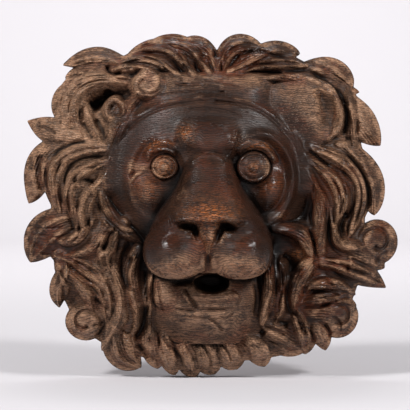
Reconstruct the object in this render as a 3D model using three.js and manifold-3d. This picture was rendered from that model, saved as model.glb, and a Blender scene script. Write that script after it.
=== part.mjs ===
import * as THREE from 'three';
import { mergeVertices } from 'three/addons/utils/BufferGeometryUtils.js';
import Module from 'manifold-3d';

const wasm = await Module();
wasm.setup();

// A lion's head carved from one laminated block of oak, to be fixed to a wall by its flat back.
// Sizes are in millimetres. The back lies in the plane y = 0 with the origin at its middle, the
// face looks along -Y, x runs to the right as the mask is seen and z runs up. A height is the
// distance of a surface in front of the back.

// The mane falls in a dome from the border of the face to a thin rim.
const dome = {
  halfWidth: 165,
  halfHeight: 151,
  rimHeight: 15,
  faceHeight: 56,
  squareness: 2.5,
  fall: 3,
  brim: 1.15,
};

// The core that fills the block behind the locks stays under the dome.
const core = { halfWidth: 138, halfHeight: 137, below: 12, squareness: 3 };

// Every lock is a tapering ridge: how deep its sides show above the dome, how much of its full
// width and crest it has at the root, where it is widest, where the crest is reached and where it
// starts to fall, how far it falls, the width left at the tip, how steeply a pointed tip tapers and
// how much a blunt one takes off that, and the lean of the sides at the back.
const lockShape = {
  sideHeight: 7,
  rootWidth: 0.62,
  rootCrest: 0.25,
  widest: 0.42,
  bluntShift: 0.2,
  crestAt: 0.35,
  fallFrom: 0.6,
  fall: 0.75,
  tip: 1.2,
  taper: 1.1,
  bluntness: 0.6,
  lean: 0.06,
};

// Joined solids run on past the back, which is then cut flat.
const behind = 5;

// Locks: root x, root z, tip x, tip z, bow to the side, wave, width, lift of the crest over the
// dome, number of strands, bluntness of the tip from 0 to 1.
const locks = {
  // top tuft, left of the parting
  tuftLeftA: [8, 116, -20, 149, -5, 0, 20, 13, 'two', 0.8],
  tuftLeftB: [1, 116, -52, 144, -13, 0, 19, 17, 'two', 0.7],
  tuftLeftC: [-13, 115, -70, 134, -13, 0, 19, 19, 'two', 0.5],
  tuftLeftD: [-26, 114, -84, 123, -10, 0, 17, 18, 'two', 0.4],
  tuftLeftE: [-38, 112, -92, 116, -8, 0, 15, 15, 'two', 0.4],
  // top tuft, right of the parting
  tuftRightA: [10, 116, 48, 139, 12, 0, 24, 15, 'three', 0.7],
  tuftRightB: [18, 117, 81, 134, 7, -2, 20, 17, 'two', 0.8],
  tuftRightC: [26, 117, 90, 122, 6, 0, 17, 17, 'three', 0.5],
  // right ear
  earTopRight: [78, 116, 128, 105, 8, 0, 27, 12, 'two', 0.8],
  earRimRight: [36, 112, 113, 86, 13, 0, 15, 14, 'one', 0.7],
  earEdgeRight: [101, 106, 104, 56, 12, 0, 14, 15, 'one', 0.6],
  earBackRight: [119, 112, 128, 50, 2, 0, 20, 8, 'two', 0.6],
  splitLock: [109, 103, 152, 53, 0, 0, 30, 8, 'two', 0.5],
  splinter: [120, 103, 134, 100, 0, 0, 7, 2, 'one', 0.1],
  // right side
  rightLongCurl: [88, 54, 122, -30, 29, 0, 21, 16, 'three', 0.6],
  rightOuter: [116, 56, 146, -8, 10, 0, 25, 12, 'two', 0.8],
  rightInner: [86, 42, 110, -26, 17, 0, 20, 15, 'three', 0.5],
  rightFaceEdge: [84, 32, 92, -60, 12, 3, 19, 13, 'two', 0.5],
  rightHook: [106, -2, 152, -32, -20, 0, 19, 16, 'two', 0.8],
  rightHorn: [100, -48, 158, -73, 4, 0, 24, 12, 'three', 0.2],
  rightHornTop: [110, -36, 156, -55, 3, 0, 19, 9, 'one', 0.8],
  rightLowS: [100, -38, 75, -98, -9, 0, 20, 16, 'two', 0.6],
  rightLowFoot: [72, -86, 86, -131, 4, 0, 24, 12, 'three', 0.8],
  rightCuffA: [80, -70, 130, -78, 5, 0, 16, 12, 'one', 0.7],
  rightCuffB: [76, -86, 131, -88, 7, 0, 15, 14, 'two', 0.7],
  rightLobe: [76, -95, 124, -104, 6, 0, 28, 9, 'one', 0.9],
  rightSpur: [88, -98, 104, -128, 3, 0, 18, 11, 'one', 0.5],
  rightSkirt: [40, -102, 86, -128, 0, 0, 30, 9, 'two', 0.8],
  rightChinA: [53, -46, 44, -110, 4, 0, 15, 14, 'one', 0.5],
  rightChinB: [66, -50, 56, -108, 5, 0, 18, 11, 'two', 0.5],
  rightArch: [57, -18, 92, -54, 14, 0, 17, 9, 'one', 0.6],
  // left ear and the locks behind it
  leftFlame: [-68, 121, -129, 124, -7, 0, 22, 11, 'two', 0.15],
  leftFlameUnder: [-86, 114, -126, 113, -2, 0, 19, 7, 'one', 0.6],
  earOuterLeft: [-104, 110, -132, 76, -8, 0, 20, 8, 'one', 0.8],
  earRimLeft: [-60, 108, -126, 54, -32, 0, 25, 15, 'three', 0.8],
  leftHorn: [-116, 60, -160, 75, 1, 0, 24, 10, 'one', 0.1],
  earFrontLeft: [-60, 96, -86, 44, -5, 0, 22, 12, 'two', 0.5],
  earFoldLeft: [-108, 84, -84, 46, -3, 0, 14, 9, 'two', 0.5],
  // left side
  leftLongCurl: [-84, 52, -128, -12, -30, 0, 22, 17, 'three', 0.6],
  leftInner: [-86, 40, -116, -18, -20, 0, 19, 15, 'three', 0.5],
  leftInnerS: [-90, 26, -106, -34, -12, 0, 18, 14, 'two', 0.5],
  leftFaceEdge: [-95, 14, -56, -32, -7, 0, 15, 10, 'two', 0.5],
  leftOuter: [-128, 57, -158, 2, -7, -3, 25, 10, 'one', 0.5],
  leftWing: [-106, -12, -157, -50, -11, 0, 38, 11, 'three', 0.6],
  leftHookRoot: [-102, -14, -138, -28, 8, 0, 14, 15, 'one', 0.6],
  leftHookFoot: [-86, -14, -132, -44, 10, 0, 22, 12, 'two', 0.6],
  leftSpur: [-126, -42, -131, -90, 1, 3, 20, 9, 'two', 0.45],
  leftSweepA: [-132, -42, -88, -108, 19, 0, 22, 15, 'three', 0.7],
  leftSweepB: [-130, -54, -100, -96, 8, 0, 17, 13, 'two', 0.5],
  leftMidTop: [-74, -14, -88, -58, -9, 0, 22, 14, 'three', 0.6],
  leftMidS: [-92, -42, -94, -128, 18, 0, 22, 16, 'two', 0.7],
  leftFoot: [-84, -100, -59, -143, -5, 2, 35, 10, 'three', 0.5],
  leftChinLong: [-60, -36, -69, -121, 0, -5, 20, 15, 'two', 0.5],
  leftChin: [-46, -50, -52, -110, -3, 0, 17, 11, 'two', 0.5],
  // beard, from the left to the right
  beardA: [-52, -94, -44, -144, -2, 0, 22, 9, 'two', 0.8],
  beardB: [-38, -108, -29, -150, -2, 0, 18, 12, 'one', 0.8],
  beardC: [-22, -112, -11, -152, -2, 0, 22, 13, 'two', 0.9],
  beardD: [-4, -116, 6, -149, -2, 0, 23, 9, 'one', 1.0],
  beardE: [12, -117, 26, -144, 0, 0, 24, 10, 'one', 1.0],
  beardF: [26, -114, 50, -142, 5, 0, 23, 12, 'one', 0.8],
};

// The locks that stand over the ears are joined after the ears are hollowed.
const earLocks = ['earRimRight', 'earEdgeRight', 'earRimLeft', 'earFrontLeft', 'earFoldLeft'];

// Round curl ends: x, z, radius along x, radius along z, rise over the dome.
const curlSide = 6;
const curlEnds = {
  leftLobe: [-108, -102, 18, 17, 12],
  rightLobeEnd: [149, -32, 19, 20, 11],
  rightCuffLobe: [115, -98, 18, 19, 10],
};

// The face is a mask of its own height: z, half width, height at its border, height at its middle.
const faceStations = [
  [118, 64, 46, 54],
  [112, 64, 50, 58],
  [100, 62, 51, 61],
  [86, 64, 50, 66],
  [72, 71, 49, 70],
  [58, 79, 48, 72],
  [42, 86, 47, 72],
  [22, 90, 46, 70],
  [4, 88, 44, 66],
  [-10, 81, 43, 62],
  [-22, 69, 42, 60],
  [-34, 60, 41, 58],
  [-60, 50, 41, 54],
  [-100, 44, 41, 52],
  [-114, 40, 40, 46],
];

// The muzzle: z, half width, height at its middle, from the bridge of the nose down.
const muzzleStations = [
  [54, 14, 66],
  [48, 17, 77],
  [38, 20, 84],
  [28, 24, 91],
  [18, 31, 98],
  [8, 39, 106],
  [-2, 46, 114],
  [-10, 50, 118.5],
  [-16, 53, 114],
  [-25, 56, 111],
];
const muzzle = { base: 46, shoulder: 2.1, side: 0.55 };

// Below the last station the lips close the muzzle in a round end, which turns back at the bottom.
const lipEnd = {
  drop: 36,
  curve: 2.5,
  half: 56,
  high: 111,
  slope: 6,
  turn: 27,
  turnPower: 5,
  rows: 5,
  endShare: 0.995,
};

const faceEdge = { roundness: 2.6, turn: 0.14, drop: 12, dropBelow: 70, dropFade: 20, dropAbove: -40 };

// The hollow round each eye, its raised outer border and the brow are set out from the middle.
const hollow = { x: 45, z: 24, halfWidth: 29, halfHeight: 38, depth: 10, wall: 0.3, brim: 1.04 };
const hollowBorder = { out: 1.07, from: -0.55, to: 1.1, width: 11, rise: 5 };
const brow = { x: 36, z: 33, radius: 23, from: 0.35, to: 2.7, width: 13, rise: 8.5 };
const arcShape = { steps: 6, end: 0.3, fullness: 0.7, sideHeight: 4 };
const temple = { x: -53, z: 106, halfWidth: 14.5, halfHeight: 14.5, low: 50, high: 65 };
const templeDish = { ...temple, halfWidth: 8, halfHeight: 8, height: temple.high, depth: 6 };
const frown = { x: 0, z: 60, halfWidth: 25, halfHeight: 17, low: 66, high: 79 };
const cheek = { x: 56, z: 12, halfWidth: 15, halfHeight: 19, low: 48, high: 74 };
const rightEye = { x: 40, z: 35, halfWidth: 13.5, halfHeight: 12.5 };
const leftEye = { x: -38, z: 35, halfWidth: 10.5, halfHeight: 9.8 };
const pupil = 75;

// Rings of an eye from outside in: share of the radius, height.
const eyeRings = [
  [1.12, 68],
  [0.9, 75.5],
  [0.77, 69.5],
  [0.67, 73.5],
  [0.56, 69],
  [0.3, 75.5],
];

const lips = { x: 27, z: -36.5, halfWidth: 29, halfHeight: 24.5, low: 77, high: 117, squareness: 2.1 };
const philtrum = { width: 9, depth: 8, top: -22, bottom: -62, rise: 6, fall: 12 };
const noseWing = { x: 21, z: -8, halfWidth: 12, halfHeight: 9, low: 94, high: 116.5 };
const noseTip = { x: 2, z: -5, halfWidth: 24, halfHeight: 12, low: 98, high: 121.5, squareness: 2.4 };
const septum = { top: -10, bottom: -38, halfWidth: 11, high: 119, low: 112, shoulder: 5 };
const nostrils = {
  left: { x: -19, z: -14, halfWidth: 9.5, halfHeight: 3.4, height: 116, depth: 15, tilt: -0.05 },
  leftHook: { x: -11, z: -20, halfWidth: 3.2, halfHeight: 7, height: 114, depth: 10, tilt: 0.3 },
  right: { x: 16, z: -15, halfWidth: 7, halfHeight: 3.8, height: 116, depth: 15, tilt: -0.3 },
  rightHook: { x: 10, z: -21, halfWidth: 3.2, halfHeight: 7.5, height: 114, depth: 10, tilt: -0.35 },
};
const chin = { x: 0, z: -80, halfWidth: 47, halfHeight: 38, low: 46, high: 74, squareness: 2.5 };
const lowerLip = { x: 2, z: -77, halfWidth: 28, halfHeight: 8, low: 62, high: 79 };

// The open mouth is a blind oval hole.
const mouth = { x: 3, z: -65.5, halfWidth: 17.5, halfHeight: 9, floor: 36 };

const rightEar = { x: 82, z: 82, halfWidth: 34, halfHeight: 31, low: 42, high: 53, squareness: 2.6 };
const rightEarPit = { x: 102, z: 84, halfWidth: 8, halfHeight: 18, height: 53, depth: 12, tilt: 0.2 };
const leftEar = { x: -86, z: 80, halfWidth: 27, halfHeight: 25, height: 58, depth: 24 };
const leftEarPit = { x: -94, z: 96, halfWidth: 13, halfHeight: 5.5, floor: 16, tilt: 0.65 };
const leftEarKnob = { x: -80, z: 85, halfWidth: 11.5, halfHeight: 11.5, low: 34, high: 53 };
const leftEarDish = { ...leftEarKnob, halfWidth: 6, halfHeight: 5.5, height: leftEarKnob.high, depth: 5 };

const slab = { thick: 40, reach: 400 };

const oak = { colour: 0x6b4a35, roughness: 0.55, metalness: 0 };

// How finely the round forms are faceted.
const facets = {
  smallSides: 8,
  mediumSides: 10,
  largeSides: 12,
  coreSides: 24,
  faceColumns: 10,
  faceRow: 16,
  muzzleColumns: 8,
  lockStep: 20,
  lockLeast: 3,
  lockMost: 5,
};

const tau = 2 * Math.PI;

function smooth(t) {
  const s = Math.min(Math.max(t, 0), 1);
  return s * s * (3 - 2 * s);
}

function between(z, stations, column) {
  const next = stations.findIndex((station) => station[0] <= z);
  if (next < 1) return stations[next === 0 ? 0 : stations.length - 1][column];
  const [above, below] = [stations[next - 1], stations[next]];
  const share = (above[0] - z) / (above[0] - below[0]);
  return above[column] + (below[column] - above[column]) * share;
}

function domeHeight(x, z) {
  const { halfWidth, halfHeight, squareness, rimHeight, faceHeight, fall, brim } = dome;
  const sum = Math.abs(x / halfWidth) ** squareness + Math.abs(z / halfHeight) ** squareness;
  const r = sum ** (1 / squareness);
  return rimHeight + (faceHeight - rimHeight) * (1 - Math.min(r, brim) ** fall);
}

// Points are written as x, height, z. The height runs along -Y.
function closedSolid(points, triangles) {
  let volume = 0;
  for (const [a, b, c] of triangles) {
    const [p, q, r] = [a, b, c].map((i) => new THREE.Vector3(points[i][0], -points[i][1], points[i][2]));
    volume += p.dot(q.cross(r));
  }
  const outward = volume > 0 ? triangles : triangles.map(([a, b, c]) => [a, c, b]);
  const vertProperties = Float32Array.from(points.flatMap(([x, height, z]) => [x, -height, z]));
  const triVerts = Uint32Array.from(outward.flat());
  return new wasm.Manifold(new wasm.Mesh({ numProp: 3, vertProperties, triVerts }));
}

// A body drawn through a row of closed sections with equal numbers of points.
function loft(sections) {
  const count = sections[0].length;
  const triangles = [];
  for (let i = 0; i + 1 < sections.length; i += 1) {
    for (let j = 0; j < count; j += 1) {
      const [a, b] = [i * count + j, i * count + ((j + 1) % count)];
      triangles.push([a, b, b + count], [a, b + count, a + count]);
    }
  }
  const last = (sections.length - 1) * count;
  for (let j = 1; j + 1 < count; j += 1) {
    triangles.push([0, j + 1, j], [last, last + j, last + j + 1]);
  }
  return closedSolid(sections.flat(), triangles);
}

// A body with an oval plan. Rings are shares of the radii from outside in, each with a height.
function mound(plan, rings, top, sides, bottom = -behind) {
  const { x, z, halfWidth, halfHeight, tilt = 0, squareness = 2 } = plan;
  const points = [];
  const levels = [[rings[0][0], () => bottom], ...rings.map(([share, height]) => [share, height])];
  for (const [share, height] of levels) {
    for (let i = 0; i < sides; i += 1) {
      const [c, s] = [Math.cos((tau * i) / sides), Math.sin((tau * i) / sides)];
      const reach = share * (Math.abs(c) ** squareness + Math.abs(s) ** squareness) ** (-1 / squareness);
      const [along, across] = [halfWidth * reach * c, halfHeight * reach * s];
      const px = x + along * Math.cos(tilt) - across * Math.sin(tilt);
      const pz = z + along * Math.sin(tilt) + across * Math.cos(tilt);
      points.push([px, typeof height === 'function' ? height(px, pz) : height, pz]);
    }
  }
  const topPoint = points.push([x, typeof top === 'function' ? top(x, z) : top, z]) - 1;
  const triangles = [];
  for (let i = 0; i < sides; i += 1) {
    const next = (i + 1) % sides;
    for (let level = 0; level + 1 < levels.length; level += 1) {
      const [a, b] = [level * sides + i, level * sides + next];
      triangles.push([a, b, b + sides], [a, b + sides, a + sides]);
    }
    const rim = (levels.length - 1) * sides;
    triangles.push([rim + i, rim + next, topPoint]);
    if (i > 0 && i + 1 < sides) triangles.push([0, next, i]);
  }
  return closedSolid(points, triangles);
}

// A rounded swelling between a low border and a high middle.
function swelling(size, sides = facets.mediumSides, shares = [1, 0.9, 0.6]) {
  const rise = (share) => size.low + (size.high - size.low) * Math.sqrt(1 - share * share);
  return mound(size, shares.map((share) => [share, rise(share)]), size.high, sides);
}

// A round-bottomed pit cut down from in front of a surface.
function pit(size, sides = facets.smallSides) {
  const front = size.height + size.depth;
  const shares = [1, 0.85, 0.5];
  const rings = shares.map((share) => [share, size.height - size.depth * Math.sqrt(1 - share * share)]);
  return mound(size, rings, size.height - size.depth, sides, front);
}

function shaft(size, sides) {
  return mound(size, [[1, size.floor]], size.floor, sides, slab.reach / 2);
}

// A ridge along a path. Each station has a middle, a direction across, a half width and a crest.
function ridge(stations, profile, foot) {
  const sections = stations.map(({ x, z, acrossX, acrossZ, half, ground, rise }) => {
    const lean = 1 - lockShape.lean;
    const at = (u, height) => [x + acrossX * u * half, height, z + acrossZ * u * half];
    const crown = profile.map(([u, share]) => {
      const [px, , pz] = at(u, 0);
      const level = ground(px, pz) - foot;
      return at(u, level + (foot + rise) * share);
    });
    return [at(-lean, -behind), ...crown, at(lean, -behind)];
  });
  return loft(sections);
}

// Crown profiles by number of strands: place across the lock, share of the full height.
const crowns = {
  one: [[-1, 0], [-0.4, 0.95], [0.4, 0.95], [1, 0]],
  two: [[-1, 0], [-0.62, 0.56], [0, 1], [0.62, 0.56], [1, 0]],
  three: [[-1, 0], [-0.45, 0.97], [0, 0.7], [0.45, 0.97], [1, 0]],
};

function lock([rootX, rootZ, tipX, tipZ, bow, wave, width, lift, strands, blunt]) {
  const { rootWidth, rootCrest, crestAt, fallFrom, fall, tip, taper, bluntness } = lockShape;
  const [dx, dz] = [tipX - rootX, tipZ - rootZ];
  const length = Math.hypot(dx, dz);
  const wanted = Math.min(Math.max(length / facets.lockStep, facets.lockLeast), facets.lockMost);
  const count = Math.round(wanted);
  const widest = lockShape.widest + lockShape.bluntShift * blunt;
  const stations = [];
  for (let i = 0; i <= count; i += 1) {
    const t = Math.sin((Math.PI / 2) * (i / count));
    const side = bow * Math.sin(Math.PI * t) + wave * Math.sin(tau * t);
    const turn = (bow * Math.PI * Math.cos(Math.PI * t) + wave * tau * Math.cos(tau * t)) / length;
    const [alongX, alongZ] = [dx / length, dz / length];
    const tangent = new THREE.Vector2(alongX - alongZ * turn, alongZ + alongX * turn).normalize();
    const grow = rootWidth + (1 - rootWidth) * smooth(t / widest);
    const past = Math.max((t - widest) / (1 - widest), 0);
    const close = Math.max(1 - past * past, 0) ** (taper - bluntness * blunt);
    const rising = rootCrest + (1 - rootCrest) * smooth(t / crestAt);
    const falling = 1 - fall * smooth((t - fallFrom) / (1 - fallFrom));
    stations.push({
      x: rootX + dx * t - alongZ * side,
      z: rootZ + dz * t + alongX * side,
      acrossX: -tangent.y,
      acrossZ: tangent.x,
      half: Math.max(width * grow * close, tip) / 2,
      ground: domeHeight,
      rise: lift * rising * falling,
    });
  }
  return ridge(stations, crowns[strands], lockShape.sideHeight);
}

function curlEnd([x, z, halfWidth, halfHeight, rise]) {
  const shares = [1, 0.9, 0.6];
  const height = (share) => {
    const above = (curlSide + rise) * Math.sqrt(1 - share ** 2) - curlSide;
    return (px, pz) => domeHeight(px, pz) + above;
  };
  const rings = shares.map((share) => [share, height(share)]);
  return mound({ x, z, halfWidth, halfHeight }, rings, height(0), facets.mediumSides);
}

function coreBlock() {
  const { halfWidth, halfHeight, squareness, below } = core;
  const square = (angle) => {
    const [c, s] = [Math.abs(Math.cos(angle)), Math.abs(Math.sin(angle))];
    return (c ** squareness + s ** squareness) ** (-1 / squareness);
  };
  const levels = [1, 0.94, 0.8, 0.6];
  const points = [];
  for (const share of [null, ...levels]) {
    for (let i = 0; i < facets.coreSides; i += 1) {
      const angle = (tau * i) / facets.coreSides;
      const x = halfWidth * square(angle) * (share ?? 1) * Math.cos(angle);
      const z = halfHeight * square(angle) * (share ?? 1) * Math.sin(angle);
      points.push([x, share === null ? -behind : domeHeight(x, z) - below, z]);
    }
  }
  const sections = [];
  for (let i = 0; i < points.length; i += facets.coreSides) {
    sections.push(points.slice(i, i + facets.coreSides));
  }
  return loft(sections);
}

function facePlateHeight(x, z) {
  const u = Math.min(Math.abs(x) / between(z, faceStations, 1), 1);
  const [border, middle] = [between(z, faceStations, 2), between(z, faceStations, 3)];
  const { roundness, turn, drop, dropBelow, dropFade, dropAbove } = faceEdge;
  const beside = smooth((dropBelow - z) / dropFade) * smooth((z - dropAbove) / dropFade);
  const edge = Math.max((u - 1 + turn) / turn, 0) ** 2 * beside;
  const r = Math.hypot((Math.abs(x) - hollow.x) / hollow.halfWidth, (z - hollow.z) / hollow.halfHeight);
  const sunk = hollow.depth * smooth((hollow.brim - r) / hollow.wall);
  return border + (middle - border) * (1 - u ** roundness) - drop * edge - sunk;
}

// The face plate follows its stations across and down.
function facePlate() {
  const [top, bottom] = [faceStations[0][0], faceStations.at(-1)[0]];
  const rows = Math.round((top - bottom) / facets.faceRow);
  const sections = [];
  for (let row = 0; row <= rows; row += 1) {
    const z = top + ((bottom - top) * row) / rows;
    const half = between(z, faceStations, 1);
    const section = [[-half, -behind, z]];
    for (let i = 0; i <= facets.faceColumns; i += 1) {
      const u = (2 * i) / facets.faceColumns - 1;
      section.push([half * u, facePlateHeight(half * u, z), z]);
    }
    section.push([half, -behind, z]);
    sections.push(section);
  }
  return loft(sections);
}

function arcRidge(size, centre, radiusX, radiusZ, mirror) {
  const { steps, end, fullness, sideHeight } = arcShape;
  const stations = [];
  for (let i = 0; i <= steps; i += 1) {
    const angle = size.from + ((size.to - size.from) * i) / steps;
    const full = end + (1 - end) * Math.sin((Math.PI * i) / steps) ** fullness;
    const x = centre.x + radiusX * Math.cos(angle);
    const z = centre.z + radiusZ * Math.sin(angle);
    const across = new THREE.Vector2(Math.cos(angle) / radiusX, Math.sin(angle) / radiusZ).normalize();
    stations.push({
      x: mirror * x,
      z,
      acrossX: mirror * across.x,
      acrossZ: across.y,
      half: (size.width / 2) * full,
      ground: facePlateHeight,
      rise: size.rise * full,
    });
  }
  return ridge(stations, crowns.one, sideHeight);
}

function muzzleBody() {
  const { drop, curve, half: lipHalf, high: lipHigh, slope, turn, turnPower } = lipEnd;
  const { rows: lipRows, endShare } = lipEnd;
  const rows = [...muzzleStations];
  const start = rows.at(-1)[0];
  for (let i = 1; i <= lipRows; i += 1) {
    const share = endShare * Math.sin((Math.PI / 2) * (i / lipRows));
    const half = lipHalf * (1 - share ** curve) ** (1 / curve);
    rows.push([start - drop * share, half, lipHigh - slope * share - turn * share ** turnPower]);
  }
  const sections = rows.map(([z, half, high]) => {
    const section = [[-half, 0, z]];
    for (let i = 0; i <= facets.muzzleColumns; i += 1) {
      const u = Math.sin((Math.PI / 2) * ((2 * i) / facets.muzzleColumns - 1));
      const arch = Math.max(1 - Math.abs(u) ** muzzle.shoulder, 0) ** muzzle.side;
      section.push([half * u, muzzle.base + (high - muzzle.base) * arch, z]);
    }
    section.push([half, 0, z]);
    return section;
  });
  return loft(sections);
}

function septumWedge() {
  const { top, bottom, halfWidth, high, low, shoulder } = septum;
  const foot = muzzle.base;
  const section = (half, crest, z) => {
    const side = crest - shoulder;
    return [[-half, foot, z], [-half, side, z], [0, crest, z], [half, side, z], [half, foot, z]];
  };
  const middle = section(halfWidth / 2, (high + low) / 2, (top + bottom) / 2);
  return loft([section(halfWidth, high, top), middle, section(1, low, bottom)]);
}

function philtrumGroove() {
  const { width, depth, top, bottom, rise, fall } = philtrum;
  const section = (z, surface) => [
    [-width / 2, surface + depth, z],
    [0, surface - depth, z],
    [width / 2, surface + depth, z],
  ];
  const middle = section((top + bottom) / 2, lips.high);
  return loft([section(top, lips.high + rise), middle, section(bottom, lips.high - fall)]);
}

function eyeBody(size) {
  return mound(size, eyeRings, pupil, facets.largeSides);
}

function backSlab() {
  const box = new THREE.BoxGeometry(slab.reach, slab.thick, slab.reach);
  box.translate(0, slab.thick / 2, 0);
  box.deleteAttribute('normal');
  box.deleteAttribute('uv');
  const merged = mergeVertices(box);
  const vertProperties = Float32Array.from(merged.attributes.position.array);
  const triVerts = Uint32Array.from(merged.index.array);
  return new wasm.Manifold(new wasm.Mesh({ numProp: 3, vertProperties, triVerts }));
}

function mirrored(size) {
  return [-1, 1].map((side) => ({ ...size, x: side * size.x, tilt: side * (size.tilt ?? 0) }));
}

function carve() {
  const { out } = hollowBorder;
  let head = coreBlock();
  const join = (solid) => {
    head = head.add(solid);
  };
  const cut = (solid) => {
    head = head.subtract(solid);
  };
  Object.entries(locks).filter(([name]) => !earLocks.includes(name)).forEach(([, row]) => join(lock(row)));
  Object.values(curlEnds).forEach((row) => join(curlEnd(row)));
  join(facePlate());
  join(swelling(rightEar, facets.largeSides));
  cut(pit(rightEarPit));
  cut(pit(leftEar, facets.mediumSides));
  cut(shaft(leftEarPit, facets.smallSides));
  join(swelling(leftEarKnob));
  cut(pit(leftEarDish));
  earLocks.forEach((name) => join(lock(locks[name])));
  join(swelling(frown, facets.mediumSides));
  for (const side of [-1, 1]) {
    join(arcRidge(hollowBorder, hollow, hollow.halfWidth * out, hollow.halfHeight * out, side));
    join(arcRidge(brow, brow, brow.radius, brow.radius, side));
  }
  join(eyeBody(leftEye));
  join(eyeBody(rightEye));
  join(swelling(temple));
  cut(pit(templeDish));
  mirrored(cheek).forEach((size) => join(swelling(size)));
  join(muzzleBody());
  mirrored(lips).forEach((size) => join(swelling(size, facets.largeSides)));
  join(swelling(noseTip));
  mirrored(noseWing).forEach((size) => join(swelling(size)));
  join(swelling(chin, facets.largeSides));
  join(swelling(lowerLip, facets.largeSides));
  cut(philtrumGroove());
  join(septumWedge());
  Object.values(nostrils).forEach((size) => cut(pit(size)));
  cut(shaft(mouth, facets.largeSides));
  cut(backSlab());
  return head;
}

function meshOf(solid, name, material) {
  const mesh = solid.getMesh();
  const geometry = new THREE.BufferGeometry();
  geometry.setAttribute('position', new THREE.BufferAttribute(mesh.vertProperties, 3));
  geometry.setIndex(new THREE.BufferAttribute(mesh.triVerts, 1));
  geometry.computeVertexNormals();
  const shape = new THREE.Mesh(geometry, material);
  shape.name = name;
  return shape;
}

const carvedOak = new THREE.MeshStandardMaterial({
  color: oak.colour,
  roughness: oak.roughness,
  metalness: oak.metalness,
});

const group = new THREE.Group();
group.add(meshOf(carve(), 'lion_mask', carvedOak));

export default group;
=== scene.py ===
import math

import bmesh
import bpy
import numpy as np
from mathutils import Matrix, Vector


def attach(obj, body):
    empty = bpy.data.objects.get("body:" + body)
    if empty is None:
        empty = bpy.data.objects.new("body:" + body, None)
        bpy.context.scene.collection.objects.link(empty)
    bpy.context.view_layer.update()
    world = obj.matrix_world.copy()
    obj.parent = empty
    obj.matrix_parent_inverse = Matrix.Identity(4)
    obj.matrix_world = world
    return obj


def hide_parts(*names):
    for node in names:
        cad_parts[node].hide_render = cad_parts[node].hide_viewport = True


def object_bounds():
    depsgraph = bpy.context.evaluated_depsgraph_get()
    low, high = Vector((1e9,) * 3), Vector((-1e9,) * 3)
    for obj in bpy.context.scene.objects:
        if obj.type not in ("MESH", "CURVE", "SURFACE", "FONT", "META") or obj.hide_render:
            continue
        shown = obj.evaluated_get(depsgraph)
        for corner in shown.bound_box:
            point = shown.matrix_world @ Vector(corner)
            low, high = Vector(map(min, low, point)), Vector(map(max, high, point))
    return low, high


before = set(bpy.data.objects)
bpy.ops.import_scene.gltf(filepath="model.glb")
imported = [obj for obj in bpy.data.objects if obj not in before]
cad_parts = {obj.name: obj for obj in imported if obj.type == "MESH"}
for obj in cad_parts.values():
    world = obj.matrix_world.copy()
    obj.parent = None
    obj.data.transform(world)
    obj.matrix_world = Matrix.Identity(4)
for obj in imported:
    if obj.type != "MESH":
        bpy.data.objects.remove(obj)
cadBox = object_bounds()
mm = 0.001

# The head is carved on a grid seen from the front, in millimetres: x to the right, z up and the
# height of the surface in front of the back. The mesh is made from it at the end.
clay = {"step": 0.6, "halfWidth": 171.0, "halfHeight": 156.0, "far": -60.0}


def smooth(t):
    t = np.clip(t, 0, 1)
    return t * t * (3 - 2 * t)


def smoothMax(a, b, width):
    h = np.clip(0.5 + 0.5 * (a - b) / width, 0, 1)
    return b + (a - b) * h + width * h * (1 - h)


def knoll(x, z, cx, cz, a, b, power=2.0, tilt=0.0):
    c, s = math.cos(tilt), math.sin(tilt)
    dx, dz = x - cx, z - cz
    return np.exp(-(((dx * c + dz * s) / a) ** 2 + ((dz * c - dx * s) / b) ** 2) ** (power / 2))


def blur(field, radius):
    reach = int(3 * radius / clay["step"]) + 1
    kernel = np.exp(-0.5 * (np.arange(-reach, reach + 1) * clay["step"] / radius) ** 2)
    kernel /= kernel.sum()
    out = field
    for axis in (0, 1):
        pads = [(reach, reach) if k == axis else (0, 0) for k in (0, 1)]
        padded = np.pad(out, pads, mode="edge")
        shape = padded.shape[axis]
        size = int(2 ** math.ceil(math.log2(shape + 2 * reach)))
        wave = np.fft.rfft(padded, size, axis=axis)
        gain = np.fft.rfft(kernel, size)
        gain = gain[:, None] if axis == 0 else gain[None, :]
        back = np.fft.irfft(wave * gain, size, axis=axis)
        start = 2 * reach
        cut = slice(start, start + out.shape[axis])
        out = back[cut] if axis == 0 else back[:, cut]
    return out


def layOutClay():
    step = clay["step"]
    across = np.arange(-clay["halfWidth"], clay["halfWidth"] + step / 2, step)
    upward = np.arange(-clay["halfHeight"], clay["halfHeight"] + step / 2, step)
    return np.meshgrid(across, upward)


gridX, gridZ = layOutClay()

# The mane falls in a dome from the border of the face to a thin rim.
dome = {
    "halfWidth": 165, "halfHeight": 151, "rimHeight": 15, "faceHeight": 56,
    "squareness": 2.5, "fall": 3, "reach": 1.15,
}
core = {"halfWidth": 138, "halfHeight": 137, "squareness": 3, "below": 12}


def squareRadius(x, z, halfWidth, halfHeight, squareness):
    sides = np.abs(x / halfWidth) ** squareness + np.abs(z / halfHeight) ** squareness
    return sides ** (1 / squareness)


def domeHeight(x, z):
    r = squareRadius(x, z, dome["halfWidth"], dome["halfHeight"], dome["squareness"])
    rise = dome["faceHeight"] - dome["rimHeight"]
    return dome["rimHeight"] + rise * (1 - np.clip(r, 0, dome["reach"]) ** dome["fall"])


# Every lock is a tapering ridge with gouged flutes between crisp arrises, and fine hair on it.
lockShape = {
    "sideHeight": 7, "rootWidth": 0.62, "rootCrest": 0.25, "tuftCrest": 0.7, "widest": 0.42,
    "bluntShift": 0.2, "tipPower": 1.1, "bluntPower": 0.6, "thinnest": 0.05,
    "crestAt": 0.35, "fallFrom": 0.6, "fall": 0.75, "round": 2.8, "crown": 0.7,
    "sideFall": 1.1, "skirt": 1.7,
    "flute": 4.0, "fluteRound": 0.9, "fluteFrom": 0.15, "fluteTo": 0.78, "fluteEnd": 0.22,
    "hair": 0.8, "hairSpacing": 2.6, "hairWave": 2.2,
}

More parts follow.
